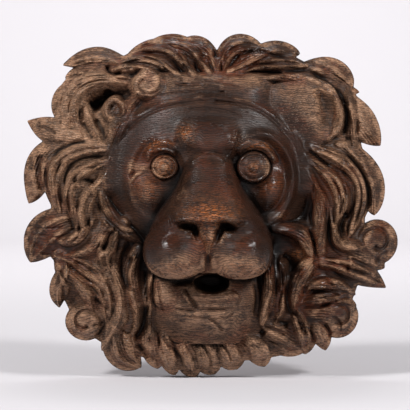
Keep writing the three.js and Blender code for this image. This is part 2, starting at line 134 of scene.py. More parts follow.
# Root x, root z, tip x, tip z, bow to the side, wave, width, lift of the crest over the dome,
# number of strands, bluntness of the tip from 0 to 1.
locks = {
    # top tuft, left of the parting
    "tuftLeftA": (8, 116, -20, 147, -5, 0, 20, 13, 2, 0.8),
    "tuftLeftB": (1, 116, -52, 143, -11, 0, 19, 17, 2, 0.7),
    "tuftLeftC": (-13, 115, -70, 134, -13, 0, 19, 19, 2, 0.5),
    "tuftLeftD": (-26, 114, -84, 123, -10, 0, 17, 18, 2, 0.4),
    "tuftLeftE": (-38, 112, -92, 116, -8, 0, 15, 15, 2, 0.4),
    # top tuft, right of the parting
    "tuftRightA": (10, 116, 48, 139, 12, 0, 24, 15, 3, 0.7),
    "tuftRightB": (18, 117, 81, 134, 7, -2, 20, 17, 2, 0.8),
    "tuftRightC": (26, 117, 90, 122, 6, 0, 17, 17, 3, 0.5),
    # right ear
    "earTopRight": (78, 116, 128, 105, 8, 0, 27, 12, 2, 0.8),
    "earRimRight": (36, 112, 113, 86, 13, 0, 15, 14, 1, 0.7),
    "earEdgeRight": (101, 106, 104, 56, 12, 0, 14, 15, 1, 0.6),
    "earBackRight": (119, 112, 128, 50, 2, 0, 20, 8, 2, 0.6),
    "splitLock": (109, 103, 152, 53, 0, 0, 30, 8, 2, 0.5),
    "splinter": (120, 103, 134, 100, 0, 0, 7, 2, 1, 0.1),
    # right side
    "rightLongCurl": (88, 54, 122, -30, 29, 0, 21, 16, 3, 0.6),
    "rightOuter": (116, 56, 146, -8, 10, 0, 25, 12, 2, 0.8),
    "rightInner": (86, 42, 110, -26, 17, 0, 20, 15, 3, 0.5),
    "rightFaceEdge": (84, 32, 92, -60, 12, 3, 19, 13, 2, 0.5),
    "rightHook": (106, -2, 152, -32, -20, 0, 19, 16, 2, 0.8),
    "rightHorn": (100, -48, 158, -73, 4, 0, 24, 12, 3, 0.2),
    "rightHornTop": (110, -36, 156, -55, 3, 0, 19, 9, 1, 0.8),
    "rightLowS": (100, -38, 75, -98, -9, 0, 20, 16, 2, 0.6),
    "rightLowFoot": (72, -86, 86, -131, 4, 0, 24, 12, 3, 0.8),
    "rightCuffA": (80, -70, 130, -78, 5, 0, 16, 12, 1, 0.7),
    "rightCuffB": (76, -86, 131, -88, 7, 0, 15, 14, 2, 0.7),
    "rightLobe": (76, -95, 124, -104, 6, 0, 28, 9, 1, 0.9),
    "rightSpur": (88, -98, 104, -128, 3, 0, 18, 11, 1, 0.5),
    "rightSkirt": (40, -102, 86, -128, 0, 0, 30, 9, 2, 0.8),
    "rightChinA": (53, -46, 44, -110, 4, 0, 15, 14, 1, 0.5),
    "rightChinB": (66, -50, 56, -108, 5, 0, 18, 11, 2, 0.5),
    "rightArch": (57, -18, 92, -54, 14, 0, 17, 9, 1, 0.6),
    # left ear and the locks behind it
    "leftFlame": (-68, 121, -129, 124, -7, 0, 22, 11, 2, 0.15),
    "leftFlameUnder": (-86, 114, -126, 113, -2, 0, 19, 7, 1, 0.6),
    "earOuterLeft": (-104, 110, -132, 76, -8, 0, 20, 8, 1, 0.8),
    "earRimLeft": (-60, 108, -126, 54, -32, 0, 25, 15, 3, 0.8),
    "leftHorn": (-116, 60, -160, 75, 1, 0, 24, 10, 1, 0.1),
    "earFrontLeft": (-60, 96, -86, 44, -5, 0, 22, 12, 2, 0.5),
    "earFoldLeft": (-108, 86, -86, 48, -3, 0, 9, -4, 1, 0.4),
    # left side
    "leftLongCurl": (-84, 52, -128, -12, -30, 0, 22, 17, 3, 0.6),
    "leftInner": (-86, 40, -116, -18, -20, 0, 19, 15, 3, 0.5),
    "leftInnerS": (-90, 26, -106, -34, -12, 0, 18, 14, 2, 0.5),
    "leftFaceEdge": (-95, 14, -56, -32, -7, 0, 15, 10, 2, 0.5),
    "leftOuter": (-128, 57, -158, 2, -7, -3, 25, 10, 1, 0.5),
    "leftWing": (-106, -12, -157, -50, -11, 0, 38, 11, 3, 0.6),
    "leftHookRoot": (-102, -14, -138, -28, 8, 0, 14, 15, 1, 0.6),
    "leftHookFoot": (-86, -14, -132, -44, 10, 0, 22, 12, 2, 0.6),
    "leftSpur": (-126, -42, -131, -90, 1, 3, 20, 9, 2, 0.45),
    "leftSweepA": (-132, -42, -88, -108, 19, 0, 22, 15, 3, 0.7),
    "leftSweepB": (-130, -54, -100, -96, 8, 0, 17, 13, 2, 0.5),
    "leftMidTop": (-74, -14, -88, -58, -9, 0, 22, 14, 3, 0.6),
    "leftMidS": (-92, -42, -94, -128, 18, 0, 22, 16, 2, 0.7),
    "leftFoot": (-84, -100, -59, -143, -5, 2, 35, 10, 3, 0.5),
    "leftChinLong": (-60, -36, -69, -121, 0, -5, 20, 15, 2, 0.5),
    "leftChin": (-46, -50, -52, -110, -3, 0, 17, 11, 2, 0.5),
    # beard, from the left to the right
    "beardA": (-52, -94, -44, -144, -2, 0, 22, 9, 2, 0.8),
    "beardB": (-38, -108, -29, -150, -2, 0, 18, 12, 1, 0.8),
    "beardC": (-22, -112, -11, -152, -2, 0, 22, 13, 2, 0.9),
    "beardD": (-4, -116, 6, -149, -2, 0, 23, 9, 1, 1.0),
    "beardE": (12, -117, 26, -144, 0, 0, 24, 10, 1, 1.0),
    "beardF": (26, -114, 50, -142, 5, 0, 23, 12, 1, 0.8),
}

# The locks that stand over the ears are laid after the ears are hollowed.
earLocks = ("earRimRight", "earEdgeRight", "earRimLeft", "earFrontLeft", "earFoldLeft")

# Round curl ends: x, z, radius along x, radius along z, rise over the dome.
curlEnds = {
    "leftLobe": (-108, -102, 18, 17, 12),
    "rightLobeEnd": (149, -32, 19, 20, 11),
    "rightCuffLobe": (115, -98, 18, 19, 10),
}


def nearestOnPath(x, z, pathX, pathZ):
    nearest = np.full(x.shape, 1e9)
    share = np.zeros(x.shape)
    side = np.zeros(x.shape)
    count = len(pathX) - 1
    for i in range(count):
        ex, ez = pathX[i + 1] - pathX[i], pathZ[i + 1] - pathZ[i]
        q = np.clip(((x - pathX[i]) * ex + (z - pathZ[i]) * ez) / (ex * ex + ez * ez), 0, 1)
        dx, dz = x - pathX[i] - q * ex, z - pathZ[i] - q * ez
        d = dx * dx + dz * dz
        closer = d < nearest
        nearest = np.where(closer, d, nearest)
        share = np.where(closer, (i + q) / count, share)
        side = np.where(closer, np.sign(ex * dz - ez * dx), side)
    return np.sqrt(nearest), share, side


def bowedPath(rootX, rootZ, tipX, tipZ, bow, wave, steps=48):
    t = np.linspace(0, 1, steps + 1)
    dx, dz = tipX - rootX, tipZ - rootZ
    length = math.hypot(dx, dz)
    side = bow * np.sin(math.pi * t) + wave * np.sin(2 * math.pi * t)
    return rootX + dx * t - dz / length * side, rootZ + dz * t + dx / length * side


def windowAround(pathX, pathZ, pad):
    columns = np.where((gridX[0] >= pathX.min() - pad) & (gridX[0] <= pathX.max() + pad))[0]
    rows = np.where((gridZ[:, 0] >= pathZ.min() - pad) & (gridZ[:, 0] <= pathZ.max() + pad))[0]
    return slice(rows[0], rows[-1] + 1), slice(columns[0], columns[-1] + 1)


def layLock(height, foot, row, rootCrest=lockShape["rootCrest"]):
    rootX, rootZ, tipX, tipZ, bow, wave, width, lift, strands, blunt = row
    shape = lockShape
    pathX, pathZ = bowedPath(rootX, rootZ, tipX, tipZ, bow, wave)
    area = windowAround(pathX, pathZ, width * 0.9 + 1)
    x, z = gridX[area], gridZ[area]
    away, t, side = nearestOnPath(x, z, pathX, pathZ)
    widest = shape["widest"] + shape["bluntShift"] * blunt
    grow = shape["rootWidth"] + (1 - shape["rootWidth"]) * smooth(t / widest)
    past = np.clip((t - widest) / (1 - widest), 0, 1)
    taper = (1 - past ** 2) ** (shape["tipPower"] - shape["bluntPower"] * blunt)
    half = np.maximum(width / 2 * grow * taper, shape["thinnest"])
    u = away / half
    rising = rootCrest + (1 - rootCrest) * smooth(t / shape["crestAt"])
    falling = 1 - shape["fall"] * smooth((t - shape["fallFrom"]) / (1 - shape["fallFrom"]))
    top = np.clip(1 - u ** shape["round"], 0, 1) ** shape["crown"]
    crown = np.where(u < 1, top, -(u - 1) * shape["sideFall"])
    ground = domeHeight(x, z) - shape["sideHeight"]
    level = ground + (shape["sideHeight"] + lift * rising * falling) * crown
    if strands > 1:
        place = strands / 2 * (np.clip(u * side, -1, 1) + 1)
        fade = smooth(t / shape["fluteFrom"]) * (1 - smooth((t - shape["fluteTo"]) / shape["fluteEnd"]))
        channel = np.abs(np.sin(math.pi * place)) ** shape["fluteRound"]
        level -= shape["flute"] * channel * fade * (u < 1)
    level += hairLines(away * side, t, u, grow, row)
    level = np.where(u < shape["skirt"], level, clay["far"])
    height[area] = np.maximum(height[area], level)
    foot[area] = np.maximum(foot[area], half - away)


def hairLines(across, t, u, grow, row):
    rootX, rootZ, tipX = row[:3]
    across = across / (0.55 + 0.45 * grow)  # the hairs draw together where the lock is narrow
    wander = lockShape["hairWave"] * np.sin(4.0 * t + rootX)
    hair = lockShape["hair"] * np.sin(2 * math.pi * across / lockShape["hairSpacing"] + wander + rootZ)
    return hair * smooth(t / 0.1) * smooth((1.0 - u) / 0.25) * (0.6 + 0.4 * np.sin(7 * t + tipX))


# A curl end is a round knob with a spiral groove; lengths after the side are shares of its radius.
curlShape = {
    "side": 6, "round": 2.2, "crown": 0.55, "groove": 4.0, "grooveWidth": 0.09,
    "spiralFrom": 0.22, "spiralGrowth": 0.11, "dish": 2.5, "dishRadius": 0.6,
}


def layCurlEnd(height, foot, row):
    cx, cz, a, b, rise = row
    shape = curlShape
    r = np.sqrt(((gridX - cx) / a) ** 2 + ((gridZ - cz) / b) ** 2)
    turn = np.arctan2(gridZ - cz, (gridX - cx) * math.copysign(1, cx))
    spiral = shape["spiralFrom"] + shape["spiralGrowth"] * ((turn + 2.2) % (2 * math.pi))
    level = domeHeight(gridX, gridZ) - shape["side"]
    level = level + (shape["side"] + rise) * np.clip(1 - r ** shape["round"], 0, 1) ** shape["crown"]
    level = level - shape["groove"] * np.exp(-((r - spiral) / shape["grooveWidth"]) ** 2)
    level = level - shape["dish"] * smooth((shape["dishRadius"] - r) / 0.4)
    height[:] = np.where(r < 1, np.maximum(height, level), height)
    foot[:] = np.maximum(foot, (1 - r) * min(a, b))


# The face: z, half width, height at its border, height at its middle.
faceStations = [
    (118, 64, 40, 45), (113, 64, 45, 53), (107, 64, 49, 58), (100, 62, 51, 61), (86, 64, 50, 66),
    (72, 71, 49, 70), (58, 79, 48, 72), (42, 86, 47, 72), (22, 90, 46, 70), (4, 88, 44, 66),
    (-10, 81, 43, 62), (-22, 69, 42, 60), (-34, 60, 41, 58), (-60, 60, 32, 54), (-100, 56, 28, 46),
    (-122, 44, 24, 34),
]

# The muzzle, one pear from the bridge to the lips: z, half width, height at its middle.
muzzleStations = [
    (48, 21, 79), (36, 22, 85), (31, 24, 88), (19, 29, 97), (7, 37, 107), (-2, 43.5, 114),
    (-9, 47.5, 118), (-18, 52, 113), (-25, 55, 112),
]
pear = {
    "top": 47, "topRound": 13, "topRise": 14, "topPower": 2.2, "lips": -25, "drop": 31,
    "bottom": -56, "lipHalf": 56, "lipRound": 2.4, "lipHigh": 111, "slope": 4, "turn": 20,
    "base": 56, "square": 3.6, "shoulder": 0.5, "leftShift": -1.5, "rightShift": 0.5, "blend": 9.0,
}


def between(z, stations, column):
    levels = np.array([row[0] for row in stations][::-1], float)
    values = np.array([row[column] for row in stations][::-1], float)
    return np.interp(z, levels, values)


def swell(y, x, z, at, radii, low, high, power, flat, soften):
    r = squareRadius(x - at[0], z - at[1], radii[0], radii[1], power)
    level = low + (high - low) * np.clip(1 - np.clip(r, 0, 1) ** 2, 0, 1) ** flat
    return np.where(r < 1, smoothMax(y, level, soften), y)


def muzzleHeight(x, z):
    low = np.clip((pear["lips"] - z) / pear["drop"], 0, 1)
    inLips = z < pear["lips"]
    lipHalf = pear["lipHalf"] * (1 - low ** pear["lipRound"]) ** (1 / pear["lipRound"])
    half = np.where(inLips, lipHalf, between(z, muzzleStations, 1))
    half = half + np.where(x < 0, pear["leftShift"], pear["rightShift"])
    lipHigh = pear["lipHigh"] - pear["slope"] * low - pear["turn"] * low ** 5
    high = np.where(inLips, lipHigh, between(z, muzzleStations, 2))
    u = np.clip(np.abs(x) / np.maximum(half, 0.1), 0, 1)
    v = np.clip((z - pear["top"] + pear["topRound"]) / pear["topRound"], 0, 1)
    r = np.clip(u ** pear["square"] + v ** pear["topPower"], 0, 1)
    rise = high - pear["base"] - pear["topRise"] * v
    level = pear["base"] + pear["topRise"] * v + rise * (1 - r) ** pear["shoulder"]
    return np.where((u < 1) & (r < 1) & (z > pear["bottom"]), level, clay["far"])


# Rounds raised or sunk in the surface: rise, x, z, radius along, radius across, power, tilt.
frown = [
    (7, 0, 62, 24, 14, 4.0, 0), (4, -20, 60, 5, 12, 2.5, 0.15), (4, 22, 58, 5, 12, 2.5, -0.15),
    (-4, 1, 60, 11, 9, 3.0, 0),
]
# Each nostril is a slot in a shallow recess that hooks down beside the wedge of the nose.
nostrils = [
    (-4, -19, -19.5, 11, 6.5, 2.2, 0), (-4, 21, -19.5, 11, 6.5, 2.2, 0),
    (-15, -17.5, -14, 7.5, 3.0, 2.4, -0.12), (-9, -10.5, -19, 3.0, 6.5, 3.0, 0.3),
    (-16, 16, -14.5, 6.5, 3.6, 3.0, -0.3), (-9, 9.5, -20, 3.0, 7.5, 3.0, -0.35),
    (-4, 27, -13, 6, 1.8, 2.0, 0.5), (-4, -31, -10, 2, 5, 2.0, 0.3),
]


def addRounds(y, x, z, rounds):
    for rise, *place in rounds:
        cx, cz, a, b, power, tilt = place
        y = y + rise * knoll(x, z, cx, cz, a, b, power, tilt)
    return y


# The eyes: x, z, radius across, radius upward, swell of the ball. Then the rings round an eye:
# rise, place and width, the last two as shares of its radius.
eyes = {"right": (39.5, 35, 13.5, 12.6, 5.5), "left": (-37.5, 35, 10.5, 9.8, 6)}
eyeRings = {
    "iris": (-0.9, 0.42, 0.08), "pupil": (1.0, 0, 0.2), "upperLid": (1.8, 0.7, 0.05),
    "lid": (2.2, 0.93, 0.11), "border": (-1.1, 1.13, 0.06),
}
eyeShape = {"bed": 68.0, "ballRadius": 0.82, "ballRound": 0.7, "uneven": 1.6, "edge": 1.12, "blend": 0.12}


def ringAt(r, name):
    rise, place, width = eyeRings[name]
    return rise * np.exp(-((r - place) / width) ** 2)


def eyeForm(y, x, z, eye):
    cx, cz, a, b, ball = eye
    shape = eyeShape
    r = np.sqrt(((x - cx) / a) ** 2 + ((z - cz) / b) ** 2)
    level = shape["bed"] + ball * np.clip(1 - (r / shape["ballRadius"]) ** 2, 0, 1) ** shape["ballRound"]
    level = level + ringAt(r, "iris") + ringAt(r, "pupil")
    level = level + ringAt(r, "upperLid") * smooth((z - cz) / b - 0.1)
    level = level + ringAt(r, "lid")
    turn = np.arctan2(z - cz, x - cx)
    level = level + shape["uneven"] * np.sin(2.4 * turn + cx) * np.clip(r - 0.4, 0, 0.6)
    inside = smooth((shape["edge"] - r) / shape["blend"])
    return y + (level - y) * inside + ringAt(r, "border")


def arcRidge(y, x, z, side, centre, radii, rise, width, spread, sharp):
    dx, dz = (x - centre[0]) * side, z - centre[1]
    angle = np.arctan2(dz / radii[1], dx / radii[0])
    ring = np.sqrt((dx / radii[0]) ** 2 + (dz / radii[1]) ** 2)
    size = (radii[0] + radii[1]) / 2
    part = smooth((angle - spread[0]) / 0.35) * smooth((spread[1] - angle) / 0.35)
    return y + rise * part * np.exp(-np.abs((ring - 1) * size / width) ** sharp)


# Brow rolls and eyelids: side, middle, radii, rise, width, first and last angle, sharpness.
browArcs = [
    (1, (40, 33), (19, 21.5), 6, 3.4, (0.15, 2.6), 2.6),
    (1, (40, 34), (15.5, 16), 2.2, 1.1, (0.3, 2.8), 2.0),
    (-1, (-40, 34), (16, 21), 5, 3.2, (0.3, 2.6), 2.6),
    (-1, (-39, 35), (14.5, 14.5), 2.4, 1.2, (0.2, 2.6), 2.0),
    (-1, (-53, 16), (14, 16), 3.0, 1.8, (0.2, 2.6), 2.0),
]
# Hollows round the eyes: side, middle, radius across, radius upward, depth, rise of the border.
eyeHollows = [(-1, 43, 26, 37, 5, 0.4), (1, 42, 30, 38, 8, 4.6)]
hollowShape = {"z": 24, "wall": 0.2, "rimAt": 1.08, "rimWidth": 0.09, "rimFrom": 28, "rimFade": 25}


def hollowEyes(y, x, z):
    shape = hollowShape
    for side, cx, a, b, depth, rim in eyeHollows:
        out = smooth((x * side - shape["rimFrom"]) / shape["rimFade"])
        r = np.sqrt(((x - side * cx) / a) ** 2 + ((z - shape["z"]) / b) ** 2)
        border = rim * np.exp(-((r - shape["rimAt"]) / shape["rimWidth"]) ** 2) * out
        y = y - depth * smooth((1.0 - r) / shape["wall"]) + border
        # cheek roll below the eye
        cheek = [(depth + 3, side * 56, 14, 12, 15, 2.6, -side * 0.3), (3, side * 48, -1, 8, 11, 2.5, 0)]
        y = addRounds(y, x, z, cheek)
    for arc in browArcs:
        y = arcRidge(y, x, z, *arc)
    y = addRounds(y, x, z, frown)
    for eye in eyes.values():
        y = eyeForm(y, x, z, eye)
    return y


# Each lip: place beside the middle, radii, heights at its border and middle, power, roundness, blend.
lip = {"x": 27.5, "z": -37, "form": ((28.5, 24), 84, 114.5, 2.3, 0.5, 4.0)}
furrow = {"depth": 7, "width": 2.6, "softDepth": 3, "softWidth": 9.0}
septum = {"top": -10, "bottom": -38, "high": 108, "rise": 3, "wedgeRise": 6, "blend": 2.5}


def setMuzzle(y, x, z, bridge):
    y = np.where(bridge > 0, smoothMax(y, bridge, pear["blend"]), y)
    for side in (-1, 1):
        y = swell(y, x, z, (side * lip["x"], lip["z"]), *lip["form"])
        y = addRounds(y, x, z, [(2.0, side * 20, -7, 9, 5, 2.0, -side * 0.2)])
    cut = np.exp(-(x / furrow["width"]) ** 2)
    y = y - furrow["depth"] * cut * smooth((-34 - z) / 8) * smooth((z + 60) / 6)
    y = y - furrow["softDepth"] * np.exp(-(x / furrow["softWidth"]) ** 2) * smooth((-36 - z) / 8)
    y = addRounds(y, x, z, [(3, 2, -6, 15, 7, 3.0, 0)])
    # the wedge of the nose narrows down to the furrow
    wedge = np.clip(1 - np.abs(x) / np.maximum(1.5 + (z + 36) * 0.36, 0.5), 0, 1)
    keel = septum["high"] + septum["rise"] * smooth((z + 40) / 16) + septum["wedgeRise"] * wedge ** 0.6
    onWedge = (z < septum["top"]) & (z > septum["bottom"]) & (wedge > 0)
    y = np.where(onWedge, smoothMax(y, keel, septum["blend"]), y)
    return addRounds(y, x, z, nostrils)


# Chin forms tucked up under the lips: middle, radii, low, high, power, roundness, blend.
chin = [
    ((0, -79), (60, 45), 38, 76, 2.1, 1.25, 6.0),
    ((2, -76), (26, 7), 62, 78, 2.0, 0.6, 7.0),
    ((-37, -72), (11, 17), 54, 68, 2.6, 0.6, 7.0),
]
mouth = {"x": 3, "z": -65.5, "across": 17.0, "upward": 8.8, "floor": 36, "flare": 40}


def shapeChin(y, x, z):
    for form in chin:
        y = swell(y, x, z, *form)
    y = addRounds(y, x, z, [(-2.0, 4, -88, 26, 2.4, 2.0, 0)])
    r = np.sqrt(((x - mouth["x"]) / mouth["across"]) ** 2 + ((z - mouth["z"]) / mouth["upward"]) ** 2)
    y = np.where(r < 1, np.minimum(y, mouth["floor"] + mouth["flare"] * r ** 3), y)
    return addRounds(y, x, z, [(-9, -18, -64, 12, 3.4, 2.5, 0.1)])


faceShape = {
    "top": 117, "foot": -121, "round": 2.6, "sideFall": 6, "sideFrom": 0.86, "sideRun": 0.14,
    "browFall": 14, "browFrom": 0.55, "browRun": 0.45,
}


def faceHeight(x, z):
    shape = faceShape
    half = between(z, faceStations, 1)
    border = between(z, faceStations, 2)
    middle = between(z, faceStations, 3)
    u = np.abs(x) / half
    y = border + (middle - border) * np.clip(1 - np.clip(u, 0, 1) ** shape["round"], 0, 1)
    side = shape["sideFall"] * np.clip((u - shape["sideFrom"]) / shape["sideRun"], 0, 1) ** 2
    y = y - side * smooth((70 - z) / 20) * smooth((z + 40) / 20)
    brow = shape["browFall"] * np.clip((u - shape["browFrom"]) / shape["browRun"], 0, 1) ** 2
    y = y - brow * smooth((z - 78) / 14)
    y = hollowEyes(y, x, z)
    bridge = muzzleHeight(x, z)
    y = setMuzzle(y, x, z, bridge)
    y = shapeChin(y, x, z)
    inFace = (u < 1) & (z < shape["top"]) & (z > shape["foot"])
    return np.where(inFace | (bridge > 0), y, clay["far"])


# Cuts and arrises on the face: half width, depth or rise, then the places.
faceCuts = [
    (1.1, 1.6, (-83, 44), (-76, 58), (-64, 73), (-45, 84), (-20, 90), (6, 92), (33, 88), (52, 79),
     (67, 64), (79, 48)),
    (0.6, 0.9, (-48, 96), (-24, 100), (0, 101), (24, 99)),
    (0.6, 0.9, (-30, 105), (0, 109), (30, 104)),
    (0.6, 0.9, (-24, 76), (0, 79), (26, 76)),
    (0.6, 1.0, (-26, -74), (0, -75), (24, -73)),
    (0.6, 1.0, (-30, -94), (-8, -95), (20, -97)),
    (0.6, 1.0, (-34, -82), (-22, -82), (-14, -80)),
    (1.3, 3.5, (-21, -69), (-15, -78), (-9, -88)),
    (0.8, 1.8, (-29, -88), (-20, -89), (-10, -90)),
    (0.7, 1.4, (-2, -88), (8, -88.5), (16, -88)),
    (1.4, 2.6, (0, -96), (7, -100), (13, -108)),
    (0.8, 1.4, (9, -94), (18, -95), (22, -91)),
    (1.2, 2.4, (-43, -62), (-42, -76), (-39, -92)),
    (1.4, 2.6, (40, -66), (42, -80), (40, -94)),
    (0.8, 1.4, (22, -70), (28, -78), (24, -86)),
    (1.2, 2.2, (-69, 26), (-62, 31), (-50, 31)),
    (1.0, 1.6, (-30, 108), (-16, 106), (-4, 107)),
    (1.0, 1.4, (-20, 82), (-8, 86), (14, 84), (30, 78)),
    (0.9, 1.4, (-12, 100), (4, 99), (16, 101)),
    (0.9, 1.2, (4, 92), (20, 90), (34, 86)),
]
faceArrises = [
    (1.6, 1.2, (-86, 44), (-79, 60), (-66, 76), (-46, 88), (-20, 94), (6, 96), (34, 92), (54, 82),
     (70, 66), (82, 50)),
    (1.1, 1.8, (-15, 37), (-10, 43), (1, 46.5), (11, 43), (16, 37)),
    (1.0, 2.0, (-52, 45), (-46, 49.5), (-37, 50.5), (-27, 46)),
    (1.0, 1.8, (-47, 36), (-56, 35), (-63, 30), (-66, 23)),
    (1.0, 2.4, (-23, -71), (-18, -80), (-13, -88)),
    (1.2, 2.0, (-30, 57), (-24, 62), (-19, 69)),
    (1.2, 2.0, (20, 50), (23, 58), (26, 68)),
]

# The right ear is a full leaf; the left one a bowl with a deep slot at its top.
earLeaf = {"x": 82, "z": 82, "halfWidth": 34, "halfHeight": 31, "squareness": 2.6, "bed": 42, "swell": 11}
earBowl = {"x": -86, "z": 80, "halfWidth": 27, "halfHeight": 25, "bed": 38, "rise": 11, "deepest": 12}
earFold = (-6, 103, 82, 8, 21, 2.4, 0.2)
earSlot = (-22, -94, 96, 11, 4.5, 3.0, 0.65)


def carveEars(height):
    x, z = gridX, gridZ
    ear = earLeaf
    r = squareRadius(x - ear["x"], z - ear["z"], ear["halfWidth"], ear["halfHeight"], ear["squareness"])
    leaf = ear["bed"] + ear["swell"] * np.clip(1 - r ** 2, 0, 1) ** 0.5
    height[:] = np.where(r < 1, np.maximum(height, leaf), height)
    height[:] = addRounds(height, x, z, [earFold])
    ear = earBowl
    r = np.hypot((x - ear["x"]) / ear["halfWidth"], (z - ear["z"]) / ear["halfHeight"])
    bowl = np.maximum(ear["bed"] + ear["rise"] * r ** 2, height - ear["deepest"])
    height[:] = np.where(r < 1, np.minimum(height, bowl), height)
    height[:] = addRounds(height, x, z, [earSlot])


